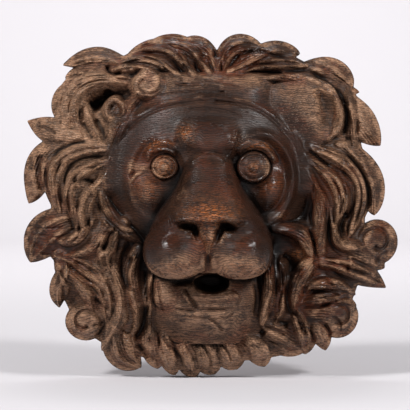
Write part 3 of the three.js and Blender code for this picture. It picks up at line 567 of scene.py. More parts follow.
# Cuts of the gouge in the mane: half width, depth, then the places it runs through.
gouges = [
    # top tufts
    (1.4, 3, (-66, 136), (-56, 141), (-44, 141), (-32, 138), (-24, 130), (-20, 122), (-18, 116)),
    (1.4, 3, (-68, 130), (-56, 134), (-42, 134), (-32, 129), (-25, 121), (-22, 115)),
    (1.5, 3.5, (-72, 124), (-60, 129), (-48, 128), (-39, 123), (-34, 115)),
    (1.4, 3, (-42, 147), (-28, 146), (-14, 143), (-4, 138), (1, 130), (3, 119)),
    (1.3, 2.5, (-26, 142), (-16, 136), (-11, 126), (-9, 117)),
    (2.2, 7, (2, 147), (6, 138), (7, 129)),
    (1.5, 3.5, (12, 117), (11, 128), (14, 138)),
    (1.5, 3, (14, 121), (17, 134), (26, 141), (38, 142), (50, 139)),
    (1.5, 3, (18, 119), (23, 129), (34, 135), (48, 135), (62, 131), (74, 130)),
    (1.4, 3, (30, 120), (42, 124), (58, 124), (76, 123)),
    (1.5, 3.5, (38, 117), (52, 117), (66, 117)),
    (1.4, 3, (79, 137), (80, 130), (86, 125)),
    # right ear
    (2.0, 4, (40, 116), (60, 116), (78, 119), (90, 118), (98, 113), (108, 109)),
    (1.6, 2.5, (88, 124), (100, 122), (112, 115), (124, 108)),
    (3.6, 3.4, (96, 99), (101, 90), (104, 80), (103, 70)),
    (2.4, 6, (111, 105), (118, 95), (121, 82), (121, 70), (117, 61)),
    (2.0, 4, (127, 97), (130, 84), (131, 72), (129, 60)),
    (2.6, 4, (106, 60), (116, 59), (128, 59), (138, 53)),
    # right side
    (1.2, 3, (88, 50), (94, 45), (101, 39), (108, 35)),
    (1.3, 3, (98, 52), (108, 47), (118, 42), (124, 36)),
    (2.2, 6, (116, 49), (127, 40), (135, 28), (139, 16), (140, 4), (137, -6), (131, -15)),
    (1.3, 3, (100, 34), (110, 29), (118, 20), (119, 8), (115, -2)),
    (1.3, 3, (112, 34), (122, 27), (129, 16), (129, 4), (124, -6), (120, -14)),
    (1.1, 2.2, (108, 24), (113, 16), (113, 6), (110, -4)),
    (2.5, 7, (122, -4), (117, -12), (115.5, -20), (117, -30)),
    (2.5, 6, (100, 8), (103, -6), (105, -20), (108, -32), (116, -39), (130, -41)),
    (1.4, 3, (92, 24), (93, 8), (90, -8), (93, -20)),
    (2.2, 6, (86, -19), (90, -25), (93, -34), (94, -44), (91, -51)),
    (5.5, 7, (64, -44), (72, -50), (75, -58)),
    (1.8, 3, (150, -52), (149, -46), (154, -42), (159, -40)),
    (1.4, 2.2, (112, -46), (126, -56), (142, -60), (152, -66)),
    (1.2, 2.0, (108, -56), (122, -64), (140, -67)),
    (1.5, 3, (122, -50), (123, -58)),
    (1.5, 3, (103, -62), (110, -70)),
    (1.6, 4, (88, -74), (104, -73), (116, -74), (125, -78)),
    (1.2, 3, (92, -81), (104, -79), (116, -77)),
    (1.4, 4, (82, -88), (96, -88), (104, -86), (112, -83), (122, -80)),
    (1.6, 3, (84, -69), (83, -76)),
    (2.2, 5, (58, -60), (57, -74), (54, -86), (53, -99)),
    (2.2, 5, (68, -64), (68, -78), (70, -88), (77, -97)),
    (1.4, 3, (64, -72), (62, -84), (62, -94)),
    (3.0, 6, (41, -98), (44, -106), (51, -112)),
    (2.8, 4, (57, -96), (64, -102), (71, -104)),
    (1.5, 3, (76, -99), (86, -106), (92, -113), (94, -122)),
    (1.3, 3, (80, -105), (87, -112), (89, -121)),
    (1.5, 3, (101, -103), (107, -111), (106, -120)),
    (1.5, 3, (48, -105), (58, -108), (68, -113)),
    (1.1, 2.4, (51, -118), (62, -121), (74, -127)),
    (1.2, 2, (108, -96), (116, -102), (117, -112)),
    # beard
    (2.4, 5, (-36, -114), (-12, -116), (14, -115), (36, -118)),
    (1.8, 4, (-40, -112), (-36, -120), (-30, -126), (-24, -134), (-21, -143)),
    (1.5, 3, (-24, -118), (-16, -127), (-13, -138)),
    (1.8, 4, (-8, -118), (-2, -126), (2, -134), (2, -144)),
    (1.5, 3, (10, -120), (17, -127), (21, -137)),
    (1.6, 3.5, (30, -119), (36, -126), (38, -135)),
    (1.4, 3, (-52, -112), (-49, -124), (-47, -138)),
    (1.2, 2.4, (-46, -104), (-43, -118), (-38, -132)),
    # beside the chin, left
    (1.2, 2.6, (-43, -60), (-42, -76), (-40, -90)),
    (1.6, 4, (-54, -54), (-54, -70), (-52, -84), (-54, -96)),
    (2.6, 4, (-46, -88), (-45, -98), (-42, -106)),
    (3.5, 8, (-66, -43), (-71, -53), (-71, -63), (-67, -72)),
    (3.6, 8, (-54, -84), (-56, -96), (-59, -108), (-67, -117)),
    (2.4, 4, (-64, -121), (-56, -128), (-53, -137)),
    # left side, low
    (4.2, 8, (-87, -20), (-87, -30), (-93, -38)),
    (3.6, 6, (-118, -48), (-106, -54), (-96, -57), (-88, -62)),
    (1.2, 3, (-130, -56), (-124, -65), (-115, -71)),
    (1.4, 3, (-128, -48), (-116, -56), (-106, -63), (-96, -69), (-88, -79)),
    (1.2, 2.6, (-124, -56), (-112, -65), (-100, -72), (-93, -81)),
    (2.0, 3.5, (-100, -80), (-94, -84), (-88, -91)),
    (1.8, 3, (-87, -95), (-92, -102), (-101, -104)),
    (1.4, 3, (-82, -84), (-84, -96), (-92, -106), (-98, -116)),
    (1.2, 2.4, (-74, -88), (-77, -102), (-84, -114), (-84, -124)),
    (1.2, 2.4, (-70, -100), (-76, -112), (-74, -124)),
    (1.4, 3, (-76, -24), (-80, -38), (-85, -46), (-84, -58), (-81, -70)),
    (1.3, 3, (-68, -30), (-74, -40), (-76, -52), (-74, -66)),
    (1.5, 3, (-141, -55), (-136, -50), (-133, -44)),
    (1.2, 2.4, (-136, -58), (-128, -70), (-127, -84)),
    # left side, middle
    (2.0, 4, (-102, 55), (-114, 56), (-122, 53), (-130, 49), (-137, 42)),
    (3.4, 6, (-146, 46), (-149, 36), (-148, 24), (-145, 12)),
    (1.6, 3, (-142, 36), (-142, 20), (-139, 8), (-137, -4)),
    (2.2, 4, (-127, 41), (-131, 30), (-131, 14), (-128, 0)),
    (1.5, 3, (-87, 43), (-100, 44), (-112, 42), (-121, 35), (-125, 24), (-123, 10)),
    (1.8, 4, (-99, 21), (-109, 24), (-118, 21)),
    (1.3, 2.6, (-94, 33), (-106, 34), (-115, 28), (-119, 18)),
    (1.6, 3, (-114, 18), (-118, 12)),
    (1.8, 3.5, (-100, 12), (-105, 3), (-106, -8), (-103, -22)),
    (2.0, 4.5, (-124, 6), (-121, -6), (-118, -14), (-117, -22)),
    (1.3, 3, (-112, 8), (-114, -4), (-112, -16), (-114, -26), (-124, -33)),
    (1.4, 3, (-97, 6), (-91, -6), (-83, -15), (-73, -22), (-62, -25)),
    (3.0, 3, (-160, -28), (-152, -34), (-144, -37), (-134, -37)),
    (1.0, 1.6, (-154, -18), (-140, -19), (-126, -18)),
    (1.0, 1.6, (-156, -24), (-142, -26), (-128, -27)),
    (1.4, 2.5, (-150, -40), (-138, -43), (-126, -42)),
    # left ear and the locks behind it
    (1.2, 2.6, (-80, 111), (-95, 110), (-108, 106), (-117, 98), (-121, 88), (-121, 76), (-119, 62)),
    (1.1, 2.2, (-110, 112), (-122, 104), (-128, 94), (-129, 80), (-128, 66)),
    (1.2, 2.2, (-84, 106), (-98, 104), (-108, 97), (-113, 86), (-112, 74)),
    (4.6, 14, (-104, 86), (-98, 90), (-90, 95), (-84, 103)),
    (2.0, 3, (-110, 74), (-105, 66), (-100, 59)),
    (2.6, 4, (-99, 77), (-92, 66), (-88, 58)),
    (1.8, 4, (-68, 109), (-63, 98), (-54, 93), (-45, 94)),
    (3.0, 4, (-64, 116), (-56, 117), (-48, 114)),
    (1.8, 5, (-89, 124), (-87, 118), (-82, 115), (-75, 119)),
    (1.3, 2.4, (-127, 121), (-116, 121), (-104, 118)),
    (1.3, 2.4, (-125, 114), (-115, 115), (-106, 113)),
    (1.3, 2.4, (-132, 92), (-134, 84), (-138, 78)),
    (1.1, 2.0, (-150, 70), (-140, 68), (-132, 62)),
]

# Crisp arrises left between the cuts: half width, rise, then the places.
arrises = [
    # top tufts
    (1.6, 2.4, (-63, 139), (-50, 144), (-38, 143), (-28, 138), (-20, 129), (-16, 119)),
    (1.5, 2, (-70, 127), (-58, 131), (-46, 131), (-36, 127), (-28, 119)),
    (1.5, 2, (-44, 144), (-30, 146), (-18, 144), (-8, 139), (-2, 130), (-3, 119)),
    (1.5, 2, (9, 118), (9, 126), (8, 134), (9, 144)),
    (1.5, 2, (15, 128), (20, 138), (32, 142), (48, 138), (62, 134)),
    (3.6, 2.6, (26, 130), (36, 133), (48, 129)),
    (1.5, 2, (40, 120), (54, 121), (70, 120), (84, 121)),
    # right ear
    (2.4, 3, (40, 112), (60, 112), (78, 114), (91, 112), (101, 106)),
    (0.9, 3, (91, 100), (97, 102.5), (104, 98)),
    (0.9, 2.6, (92, 98), (97, 91)),
    (2.8, 5, (104, 103), (110, 96), (114, 86), (116, 76), (115, 67), (108, 60), (101, 56)),
    (2.2, 2, (122, 104), (126, 94), (127, 80), (126, 66)),
    # right side
    (1.5, 2.6, (87, 53), (95, 46), (104, 40), (113, 35), (119, 29)),
    (1.5, 2, (98, 50), (108, 45), (118, 39)),
    (1.5, 3, (120, 41), (127, 34), (134, 25), (137, 14), (138, 2), (134, -8), (127, -19)),
    (1.4, 2, (106, 32), (115, 24), (122, 14), (122, 3), (117, -5)),
    (1.4, 4, (117, -5), (112.5, -12), (111, -20), (114, -30), (121, -37)),
    (1.3, 2, (126, -4), (122, -12), (120, -20), (121, -28)),
    (2.8, 2.6, (97, -2), (98, -12), (97, -22), (100, -34), (98, -43)),
    (1.8, 2, (58, -22), (70, -20), (82, -20), (88, -26)),
    (2.4, 3, (55, -62), (53, -74), (49, -86), (47, -98), (46, -105)),
    (1.8, 2, (62, -62), (63, -74), (61, -86), (63, -94)),
    (2.6, 3, (75, -60), (73, -72), (75, -80), (83, -84)),
    (1.5, 2.6, (83, -84), (96, -84), (108, -80), (120, -77), (126, -82)),
    (1.2, 2, (104, -86), (112, -84), (120, -82), (126, -86), (129, -92)),
    (1.8, 2, (86, -77), (89, -69), (97, -66), (106, -67)),
    (1.1, 3, (123.5, -43), (127, -52)),
    (1.3, 3, (77, -107), (82, -113), (84, -121)),
    (1.3, 2, (95, -105), (99, -114), (101, -123)),
    (1.4, 2, (36, -120), (46, -119), (52, -124), (54, -134)),
    (1.6, 2.4, (152, -17), (161, -22), (166, -31)),
    # beard
    (1.4, 2, (-45, -110), (-44, -122), (-41, -136)),
    (1.4, 2, (-39, -118), (-34, -128), (-31, -142)),
    (1.4, 2, (-14, -120), (-8, -130), (-8, -144)),
    (1.2, 2, (4, -120), (7, -128), (10, -140)),
    # left side, low
    (1.5, 3, (-121, -50), (-112, -57), (-104, -62), (-96, -65), (-89, -72), (-84, -82), (-82, -92)),
    (1.2, 2, (-128, -56), (-122, -66), (-113, -72), (-104, -75), (-96, -80), (-90, -88)),
    (1.6, 3, (-84, -22), (-85, -33), (-91, -41), (-97, -48), (-93, -56), (-86, -62)),
    (1.3, 2, (-78, -26), (-80, -37), (-82, -46), (-80, -58)),
    (2.2, 2.4, (-72, -28), (-76, -38), (-79, -48), (-79, -58), (-76, -70), (-77, -84), (-79, -98)),
    (1.3, 3, (-61, -44), (-65, -52), (-67, -63)),
    (1.4, 2, (-70, -72), (-66, -80), (-66, -90)),
    (2.0, 3, (-62, -86), (-62, -98), (-65, -108), (-72, -116)),
    (1.3, 1.6, (-80, -104), (-84, -112), (-86, -122)),
    (1.3, 1.6, (-88, -106), (-94, -116)),
    (1.6, 2, (-64, -125), (-58, -132), (-57, -143)),
    (1.2, 2, (-50, -62), (-51, -78), (-50, -92)),
    # left side, middle
    (3.6, 3.2, (-132, 44), (-136, 36), (-136, 24), (-134, 12), (-132, -2)),
    (1.3, 2, (-90, 40), (-104, 40), (-115, 36), (-122, 28), (-124, 16)),
    (1.8, 3, (-99, 17), (-108, 19), (-115, 15), (-118, 6), (-116, -2), (-111, -10), (-108, -20),
     (-108, -30)),
    (1.6, 2.6, (-120, 0), (-119, -10), (-115, -20), (-119, -28), (-130, -31)),
    (1.5, 2.6, (-94, 9), (-90, 0), (-85, -8), (-78, -15), (-70, -19), (-60, -22)),
    (1.3, 2, (-99, 0), (-93, -10), (-84, -19), (-74, -27)),
    (1.3, 2, (-134, -52), (-130, -60), (-129, -72)),
    # left ear and the locks behind it
    (1.6, 2.6, (-66, 117), (-76, 113), (-88, 112), (-100, 111), (-112, 108), (-121, 101), (-124, 90),
     (-124, 76), (-127, 58)),
    (1.6, 2.6, (-70, 109), (-82, 109), (-94, 108), (-104, 104), (-112, 98), (-116, 88), (-116, 76),
     (-112, 62)),
    (1.3, 2, (-76, 103), (-90, 104), (-100, 100), (-107, 92)),
    (1.4, 4, (-104, 79), (-100, 69), (-96, 61), (-92, 54)),
    (1.8, 3, (-70, 118), (-60, 122), (-49, 120), (-42, 113), (-40, 105)),
    (1.6, 3, (-66, 112), (-60, 101), (-53, 96.5), (-45, 98)),
    (1.3, 2, (-128, 124), (-114, 124), (-102, 128)),
]


def throughPlaces(places, steps=9):
    p = np.array([places[0], *places, places[-1]], float)
    t = np.linspace(0, 1, steps, endpoint=False)[:, None]
    runs = []
    for a, b, c, d in zip(p[:-3], p[1:-2], p[2:-1], p[3:]):
        square = (2 * a - 5 * b + 4 * c - d) * t ** 2
        cube = (3 * b - a - 3 * c + d) * t ** 3
        runs.append(0.5 * (2 * b + (c - a) * t + square + cube))
    path = np.concatenate(runs + [p[-1:]])
    return path[:, 0], path[:, 1]


strokeShape = {"taper": 0.18, "ridge": 1.9, "ridgeRound": 1.4}


def cutStroke(height, stroke, raised):
    half, amount, *places = stroke
    pathX, pathZ = throughPlaces(places)
    area = windowAround(pathX, pathZ, 3 * half)
    away, t, _ = nearestOnPath(gridX[area], gridZ[area], pathX, pathZ)
    taper = smooth(t / strokeShape["taper"]) * smooth((1 - t) / strokeShape["taper"])
    if raised:
        ridge = np.clip(1 - away / (strokeShape["ridge"] * half), 0, 1) ** strokeShape["ridgeRound"]
        height[area] += amount * taper * ridge
    else:
        height[area] -= amount * taper * np.exp(-(away / half) ** 2)


# Round shells with a turned lip: x, z, radius, height of the bed, of the lip and of the middle.
templeShell = (-53, 107, 16.5, 52, 65, 62)
earKnob = (-81, 85, 14, 44, 55, 45)
shellShape = {
    "round": 2.4, "crown": 0.8, "dishRadius": 0.62, "groove": 3.2, "grooveWidth": 0.08,
    "spiralFrom": 0.30, "spiralGrowth": 0.1, "share": 0.75, "edge": 1.02, "blend": 0.4,
}


def layShell(height, row):
    cx, cz, radius, bed, lip, middle = row
    shape = shellShape
    dx, dz = gridX - cx, gridZ - cz
    turn = np.arctan2(dz, dx)
    uneven = 1 + 0.06 * np.sin(2 * turn + cx) + 0.04 * np.sin(3 * turn)
    r = np.hypot(dx, dz) / radius * uneven
    level = bed + (lip - bed) * np.clip(1 - r ** shape["round"], 0, 1) ** shape["crown"]
    level = level - (lip - middle) * smooth((shape["dishRadius"] - r) / 0.4)
    spiral = shape["spiralFrom"] + shape["spiralGrowth"] * ((turn - 2.2) % (2 * math.pi))
    groove = shape["groove"] * np.exp(-((r - spiral) / shape["grooveWidth"]) ** 2)
    level = level - groove * smooth((1 - r) / 0.15)
    share = shape["share"] * smooth((shape["edge"] - r) / shape["blend"])
    height[:] = np.where(r < 1, height * (1 - share) + level * share, height)


# Between the locks the ground is lifted to a little below their mean height.
gaps = {"radius": 6.0, "below": 2.6, "blend": 3.0}
# The mane rises beside the face: height, its rise beside the eyes, fall outward, blends.
collar = {"height": 26, "rise": 27, "fall": 75, "reach": 1.35, "blend": 4.0, "faceBlend": 3.0}


def closeGaps(height, foot):
    solid = (foot > 0).astype(float)
    low = np.where(foot > 0, height, 0)
    mean = blur(low, gaps["radius"]) / np.maximum(blur(solid, gaps["radius"]), 0.05)
    return np.where(foot > 0, smoothMax(height, mean - gaps["below"], gaps["blend"]), height)


def raiseCollar(height):
    u = np.abs(gridX) / between(gridZ, faceStations, 1)
    beside = smooth((gridZ + 14) / 34) * smooth((76 - gridZ) / 10)
    level = collar["height"] + collar["rise"] * beside - collar["fall"] * np.clip(u - 1.0, 0, 1)
    raised = smoothMax(height, level, collar["blend"])
    return np.where((u < collar["reach"]) & (beside > 0), raised, height)


def carveHead():
    r = squareRadius(gridX, gridZ, core["halfWidth"], core["halfHeight"], core["squareness"])
    height = np.where(r < 1, domeHeight(gridX, gridZ) - core["below"], clay["far"])
    foot = (1 - r) * core["halfHeight"]
    for name, row in locks.items():
        if name not in earLocks:
            tuft = name.startswith("tuft")
            layLock(height, foot, row, lockShape["tuftCrest" if tuft else "rootCrest"])
    carveEars(height)
    for name in earLocks:
        layLock(height, foot, locks[name])
    for row in curlEnds.values():
        layCurlEnd(height, foot, row)
    height = raiseCollar(closeGaps(height, foot))
    for stroke in gouges:
        cutStroke(height, stroke, False)
    for stroke in arrises:
        cutStroke(height, stroke, True)
    face = faceHeight(gridX, gridZ)
    height = np.where(face > 0, smoothMax(height, face, collar["faceBlend"]), height)
    layShell(height, templeShell)
    layShell(height, earKnob)
    for stroke in faceCuts:
        cutStroke(height, stroke, False)
    for stroke in faceArrises:
        cutStroke(height, stroke, True)
    print("carved the head")
    return height, foot


height, foot = carveHead()

# Mesh of the whole block: the carved front, sides that lean in to the back, and the flat back.
# Left, right, foot and top are how far the block reaches.
block = {
    "leanAt": (0.3, 0.65, 1.0), "leanIn": (0.0, 0.9, 2.6), "thinnest": 5.0, "triangles": 190000,
    "sharpAngle": 62,
    "left": -162.9, "right": 167.9, "foot": -152.2, "top": 151.65,
}


def flood(start, allowed):
    reached = start & allowed
    while True:
        grown = reached.copy()
        grown[1:] |= reached[:-1]
        grown[:-1] |= reached[1:]
        grown[:, 1:] |= reached[:, :-1]
        grown[:, :-1] |= reached[:, 1:]
        grown &= allowed
        if grown.sum() == reached.sum():
            return reached
        reached = grown


def wholeCells(inside):
    cells = inside[:-1, :-1] & inside[1:, :-1] & inside[:-1, 1:] & inside[1:, 1:]
    seed = np.zeros_like(cells)
    seed[cells.shape[0] // 2, cells.shape[1] // 2 + 40] = True
    empty = ~flood(seed, cells)
    border = np.ones_like(cells)
    border[1:-1, 1:-1] = False
    cells = ~flood(border, empty)
    for _ in range(4):  # cells that touch only by a corner get a neighbour
        a, b = cells[:-1, :-1], cells[1:, 1:]
        c, d = cells[1:, :-1], cells[:-1, 1:]
        cells[:-1, 1:] |= a & b & ~c & ~d
        cells[:-1, :-1] |= c & d & ~a & ~b
    return cells


def cellsAtPoints(cells):
    count = np.zeros(gridX.shape, int)
    for rows in (slice(None, -1), slice(1, None)):
        for columns in (slice(None, -1), slice(1, None)):
            count[rows, columns] += cells
    return count


def slidToOutline(rim):
    soft = blur(np.clip(foot, -3, 3), 0.6)
    slopeZ, slopeX = np.gradient(soft, clay["step"])
    steep = np.maximum(slopeX ** 2 + slopeZ ** 2, 0.05)
    slide = np.clip(-soft / steep, -2, 2)
    x = np.where(rim, gridX + np.clip(slopeX * slide, -0.8, 0.8), gridX)
    z = np.where(rim, gridZ + np.clip(slopeZ * slide, -0.8, 0.8), gridZ)
    return np.clip(x, block["left"], block["right"]), np.clip(z, block["foot"], block["top"])


# Each side of a cell: the way to its neighbour, then its ends, with the solid on the left.
cellSides = (
    ((-1, 0), (0, 0), (0, 1)), ((0, 1), (0, 1), (1, 1)),
    ((1, 0), (1, 1), (1, 0)), ((0, -1), (1, 0), (0, 0)),
)


def outlineEdges(cells, number):
    padded = np.pad(cells, 1)
    rows, columns = np.where(cells)
    edges = []
    for (up, across), start, end in cellSides:
        bare = ~padded[rows + 1 + up, columns + 1 + across]
        r, k = rows[bare], columns[bare]
        edges.append(np.stack([number[r + start[0], k + start[1]], number[r + end[0], k + end[1]]], 1))
    return np.concatenate(edges)


def leaningSides(front, edges, used):
    rimIds = np.unique(edges)
    lookup = np.full(len(front), -1)
    lookup[rimIds] = np.arange(len(rimIds))
    inZ, inX = np.gradient(blur(np.clip(foot, -14, 14), 3.5), clay["step"])
    length = np.maximum(np.hypot(inX, inZ), 0.15)
    inward = np.stack([(inX / length)[used], (inZ / length)[used]], 1)[rimIds]
    rim = front[rimIds]
    points, quads, upper = [front], [], edges
    for share, lean in zip(block["leanAt"], block["leanIn"]):
        ring = rim.copy()
        ring[:, 1] = rim[:, 1] * (1 - share)
        ring[:, 0] += inward[:, 0] * lean
        ring[:, 2] += inward[:, 1] * lean
        lower = sum(len(p) for p in points) + lookup[edges]
        points.append(ring)
        quads.append(np.stack([upper[:, 1], upper[:, 0], lower[:, 0], lower[:, 1]], 1))
        upper = lower
    return np.concatenate(points), quads


def blockMesh():
    cells = wholeCells(foot > 0)
    count = cellsAtPoints(cells)
    used = count > 0
    number = np.full(gridX.shape, -1)
    number[used] = np.arange(used.sum())
    x, z = slidToOutline(used & (count < 4))
    front = np.stack([x[used], -np.maximum(height, block["thinnest"])[used], z[used]], 1)
    a, b = number[:-1, :-1][cells], number[:-1, 1:][cells]
    c, d = number[1:, 1:][cells], number[1:, :-1][cells]
    points, sides = leaningSides(front, outlineEdges(cells, number), used)
    faces = np.concatenate([np.stack([a, b, c, d], 1), *sides])
    mesh = bpy.data.meshes.new("lionMask")
    mesh.vertices.add(len(points))
    mesh.vertices.foreach_set("co", (points * mm).ravel())
    mesh.loops.add(faces.size)
    mesh.loops.foreach_set("vertex_index", faces.ravel())
    mesh.polygons.add(len(faces))
    mesh.polygons.foreach_set("loop_start", np.arange(0, faces.size, 4))
    mesh.update(calc_edges=True)
    print("block mesh of", len(faces), "faces")
    return mesh


def closeBack(mesh):
    work = bmesh.new()
    work.from_mesh(mesh)
    bmesh.ops.edgeloop_fill(work, edges=[e for e in work.edges if e.is_boundary])
    bmesh.ops.triangulate(work, faces=[f for f in work.faces if len(f.verts) > 4])
    bmesh.ops.recalc_face_normals(work, faces=work.faces)
    work.to_mesh(mesh)
    work.free()


def thinned(mesh):
    whole = bpy.data.objects.new("lionMaskWhole", mesh)
    bpy.context.scene.collection.objects.link(whole)
    count = sum(len(p.vertices) - 2 for p in mesh.polygons)
    reduce = whole.modifiers.new("reduce", "DECIMATE")
    reduce.ratio = min(1.0, block["triangles"] / count)
    shown = whole.evaluated_get(bpy.context.evaluated_depsgraph_get())
    result = bpy.data.meshes.new_from_object(shown)
    bpy.data.objects.remove(whole)
    print("thinned from", count, "to", len(result.polygons), "triangles")
    return result


def makeHead():
    mesh = blockMesh()
    closeBack(mesh)
    mesh = thinned(mesh)
    mesh.polygons.foreach_set("use_smooth", np.ones(len(mesh.polygons), bool))
    mesh.set_sharp_from_angle(angle=math.radians(block["sharpAngle"]))
    piece = bpy.data.objects.new("lionHead", mesh)
    bpy.context.scene.collection.objects.link(piece)
    return piece


lionHead = makeHead()


# Radii over which the surface is evened out to tell its hollows, painted dark as shade, and its crests,
# for the oak's colour.
readings = {"fine": 0.7, "near": 2.2, "middle": 8.0, "wide": 20.0}
shading = {
    "front": 3.0, "behind": 18, "hollowNear": 0.24, "hollowMiddle": 0.05, "edge": 0.6, "swell": 0.02,
    "crestFrom": 0.04, "crestMost": 0.5,
}
# The mouth opening is painted dark as shadow, on top of the painted shade in the hollows.
mouthShade = (1.5, mouth["x"], mouth["z"], 15, 8, 4.0, 0)


def sample(field, x, z):
    column = np.clip((x + clay["halfWidth"]) / clay["step"], 0, field.shape[1] - 1.001)
    row = np.clip((z + clay["halfHeight"]) / clay["step"], 0, field.shape[0] - 1.001)
    c, r = column.astype(int), row.astype(int)
    fc, fr = column - c, row - r
    low = field[r, c] * (1 - fc) + field[r, c + 1] * fc
    high = field[r + 1, c] * (1 - fc) + field[r + 1, c + 1] * fc
    return low * (1 - fr) + high * fr


def softSpots(x, z, spots):
    total = np.zeros(x.shape)
    for cx, cz, a, b, tilt, amount in spots:
        total = total + amount * knoll(x, z, cx, cz, a, b, 2.0, tilt)
    return np.clip(total, 0, 1)


# Stains and wear seen on the mask: x, z, radius along, radius across, tilt, strength.
pale = [
    (0, 106, 55, 8, 0, 0.1), (-118, 86, 28, 30, 0, 0.6), (-92, 62, 14, 16, 0, 0.4),
    (0, -100, 34, 14, 0, 0.2), (80, 84, 26, 24, 0, 0.4), (136, 78, 12, 26, -0.5, 0.75),
    (-56, 106, 16, 14, 0, 0.5), (-100, 96, 30, 22, 0.5, 0.8), (-112, 60, 18, 22, 0, 0.6),
    (-51, 6, 7, 11, 0, 0.5), (-27, -50, 18, 9, 0, 0.4), (29, -48, 18, 9, 0, 0.35),
    (0, -134, 75, 16, 0, 0.55), (-38, -70, 9, 12, 0, 0.5), (110, 20, 20, 40, 0, 0.2),
    (-110, 20, 24, 40, 0, 0.4), (-20, -78, 24, 8, 0, 0.3), (-90, -90, 22, 40, 0.3, 0.45),
    (-86, -50, 12, 30, 0, 0.4), (-38, 36, 9, 9, 0, 0.2), (40, 34, 13, 13, 0, 0.3),
    (-20, 64, 8, 8, 0, 0.6), (30, 62, 9, 5, 0, 0.4), (26, 58, 12, 4, 0, 0.3),
    (-66, 36, 14, 4, -0.3, 0.5),
]
worn = [
    (3, -3, 19, 8, 0, 1.0), (1, -24, 7, 12, 0, 0.45), (-57, 14, 9, 10, 0, 0.2), (-20, 65, 6, 6, 0, 0.7),
    (77, -42, 6, 4, 0, 1.6), (-81, 85, 6, 6, 0, 0.25), (-14, 60, 5, 9, 0, 0.2), (42, 54, 15, 4, 0, 0.3),
    (-44, 55, 10, 4, 0, 0.3), (56, 20, 9, 9, 0, 0.3), (-50, 18, 9, 8, 0, 0.35), (-38, 35, 8, 8, 0, 0.8),
    (40, 34, 5, 5, 0, 0.6), (44, 53, 12, 4, -0.2, 0.4), (-44, 53, 12, 4, 0.2, 0.4),
    (-100, 96, 8, 5, 0.5, 0.3), (30, -51, 18, 7, 0, 0.45), (-27, -51, 17, 6, 0, 0.35),
    (148, 56, 6, 4, 0, 0.6), (134, 102, 5, 3, 0, 0.8),
]
# Rubbed and waxed to a gloss.
glossy = [
    (71, 26, 11, 34, 0.1, 1.0), (57, 11, 12, 11, 0, 1.0), (-34, -26, 7, 7, 0, 1.0),
    (38, -28, 8, 6, 0, 0.9), (51, -26, 5, 16, 0.15, 1.0), (31, 6, 6, 20, 0.4, 0.9),
    (42, 54, 15, 4, 0, 1.0), (-44, 55, 11, 4, 0, 0.9), (-64, 13, 6, 7, 0, 1.0), (47, 3, 7, 5, 0, 0.9),
    (-136, 22, 5, 18, 0, 1.0), (32, 132, 18, 7, 0, 0.9), (115, 82, 5, 16, 0.1, 1.0),
    (98, 98, 8, 4, 0, 1.0), (-20, 138, 24, 8, -0.4, 0.7), (117, -16, 7, 16, 0, 0.9),
    (90, -46, 8, 20, 0, 0.8), (96, -66, 12, 5, 0, 0.8), (56, -76, 6, 18, 0, 0.8),
    (-110, -62, 24, 8, -0.6, 0.5), (-68, -100, 6, 22, 0, 0.8), (22, 52, 6, 6, 0, 0.9),
    (108, 28, 18, 22, 0, 0.5), (122, -82, 12, 6, 0, 0.7), (100, 46, 14, 6, -0.6, 0.7),
    (85, -112, 6, 10, 0.3, 0.8), (-95, 10, 12, 24, 0, 0.4), (154, -24, 8, 8, 0, 0.7),
]
# Where the patina is darkest; the spots in the gap between the muzzle and the cheeks and in the hollow
# right of the chin are painted shade.
dark = [
    (-81, 85, 6, 6, 0, 1.0), (39.5, 35, 19, 19, 0, 0.4), (-37.5, 35, 15, 15, 0, 0.1),
    (0, 76, 62, 22, 0, 1.0), (38, 52, 22, 10, 0, 0.5), (-38, 52, 22, 10, 0, 0.5),
    (66, 66, 26, 14, -0.8, 0.9), (-66, 60, 26, 14, 0.8, 1.0), (0, 26, 30, 28, 0, 0.8),
    (74, 24, 9, 36, 0.05, 1.0), (-60, 18, 10, 10, 0, 0.3), (57, 14, 12, 14, 0, 0.5),
    # painted shade: (-38, 8), (38, 8), (46, -8) and (-47, -8) in the gap beside the muzzle, (68, -55) in
    # a hollow
    (50, -28, 12, 30, 0.2, 0.8), (-49, -26, 11, 28, -0.2, 0.8), (-38, 8, 8, 24, -0.5, 0.5),
    (38, 8, 8, 24, 0.5, 0.5), (-30, -28, 22, 14, 0, 0.75), (31, -27, 22, 13, 0, 0.6),
    (-79, 18, 10, 38, 0, 1.0), (80, 22, 10, 40, 0, 1.0), (0, -8, 34, 9, 0, 0.4),
    (-30, -4, 12, 10, 0, 0.4), (32, -4, 12, 10, 0, 0.4), (68, -55, 12, 20, 0, 0.5),
    (46, -8, 12, 26, 0.4, 0.9), (-47, -8, 12, 28, -0.4, 0.9), (-10, 134, 80, 18, 0, 0.42),
    (60, 126, 40, 14, -0.2, 0.3), (150, -32, 14, 16, 0, 0.3), (0, 104, 50, 9, 0, 0.2),
    (-118, -36, 40, 22, 0, 0.25), (-146, -30, 14, 30, 0, 0.25), (106, -78, 40, 26, 0, 0.35),
    (104, 10, 30, 44, 0, 0.36),
]


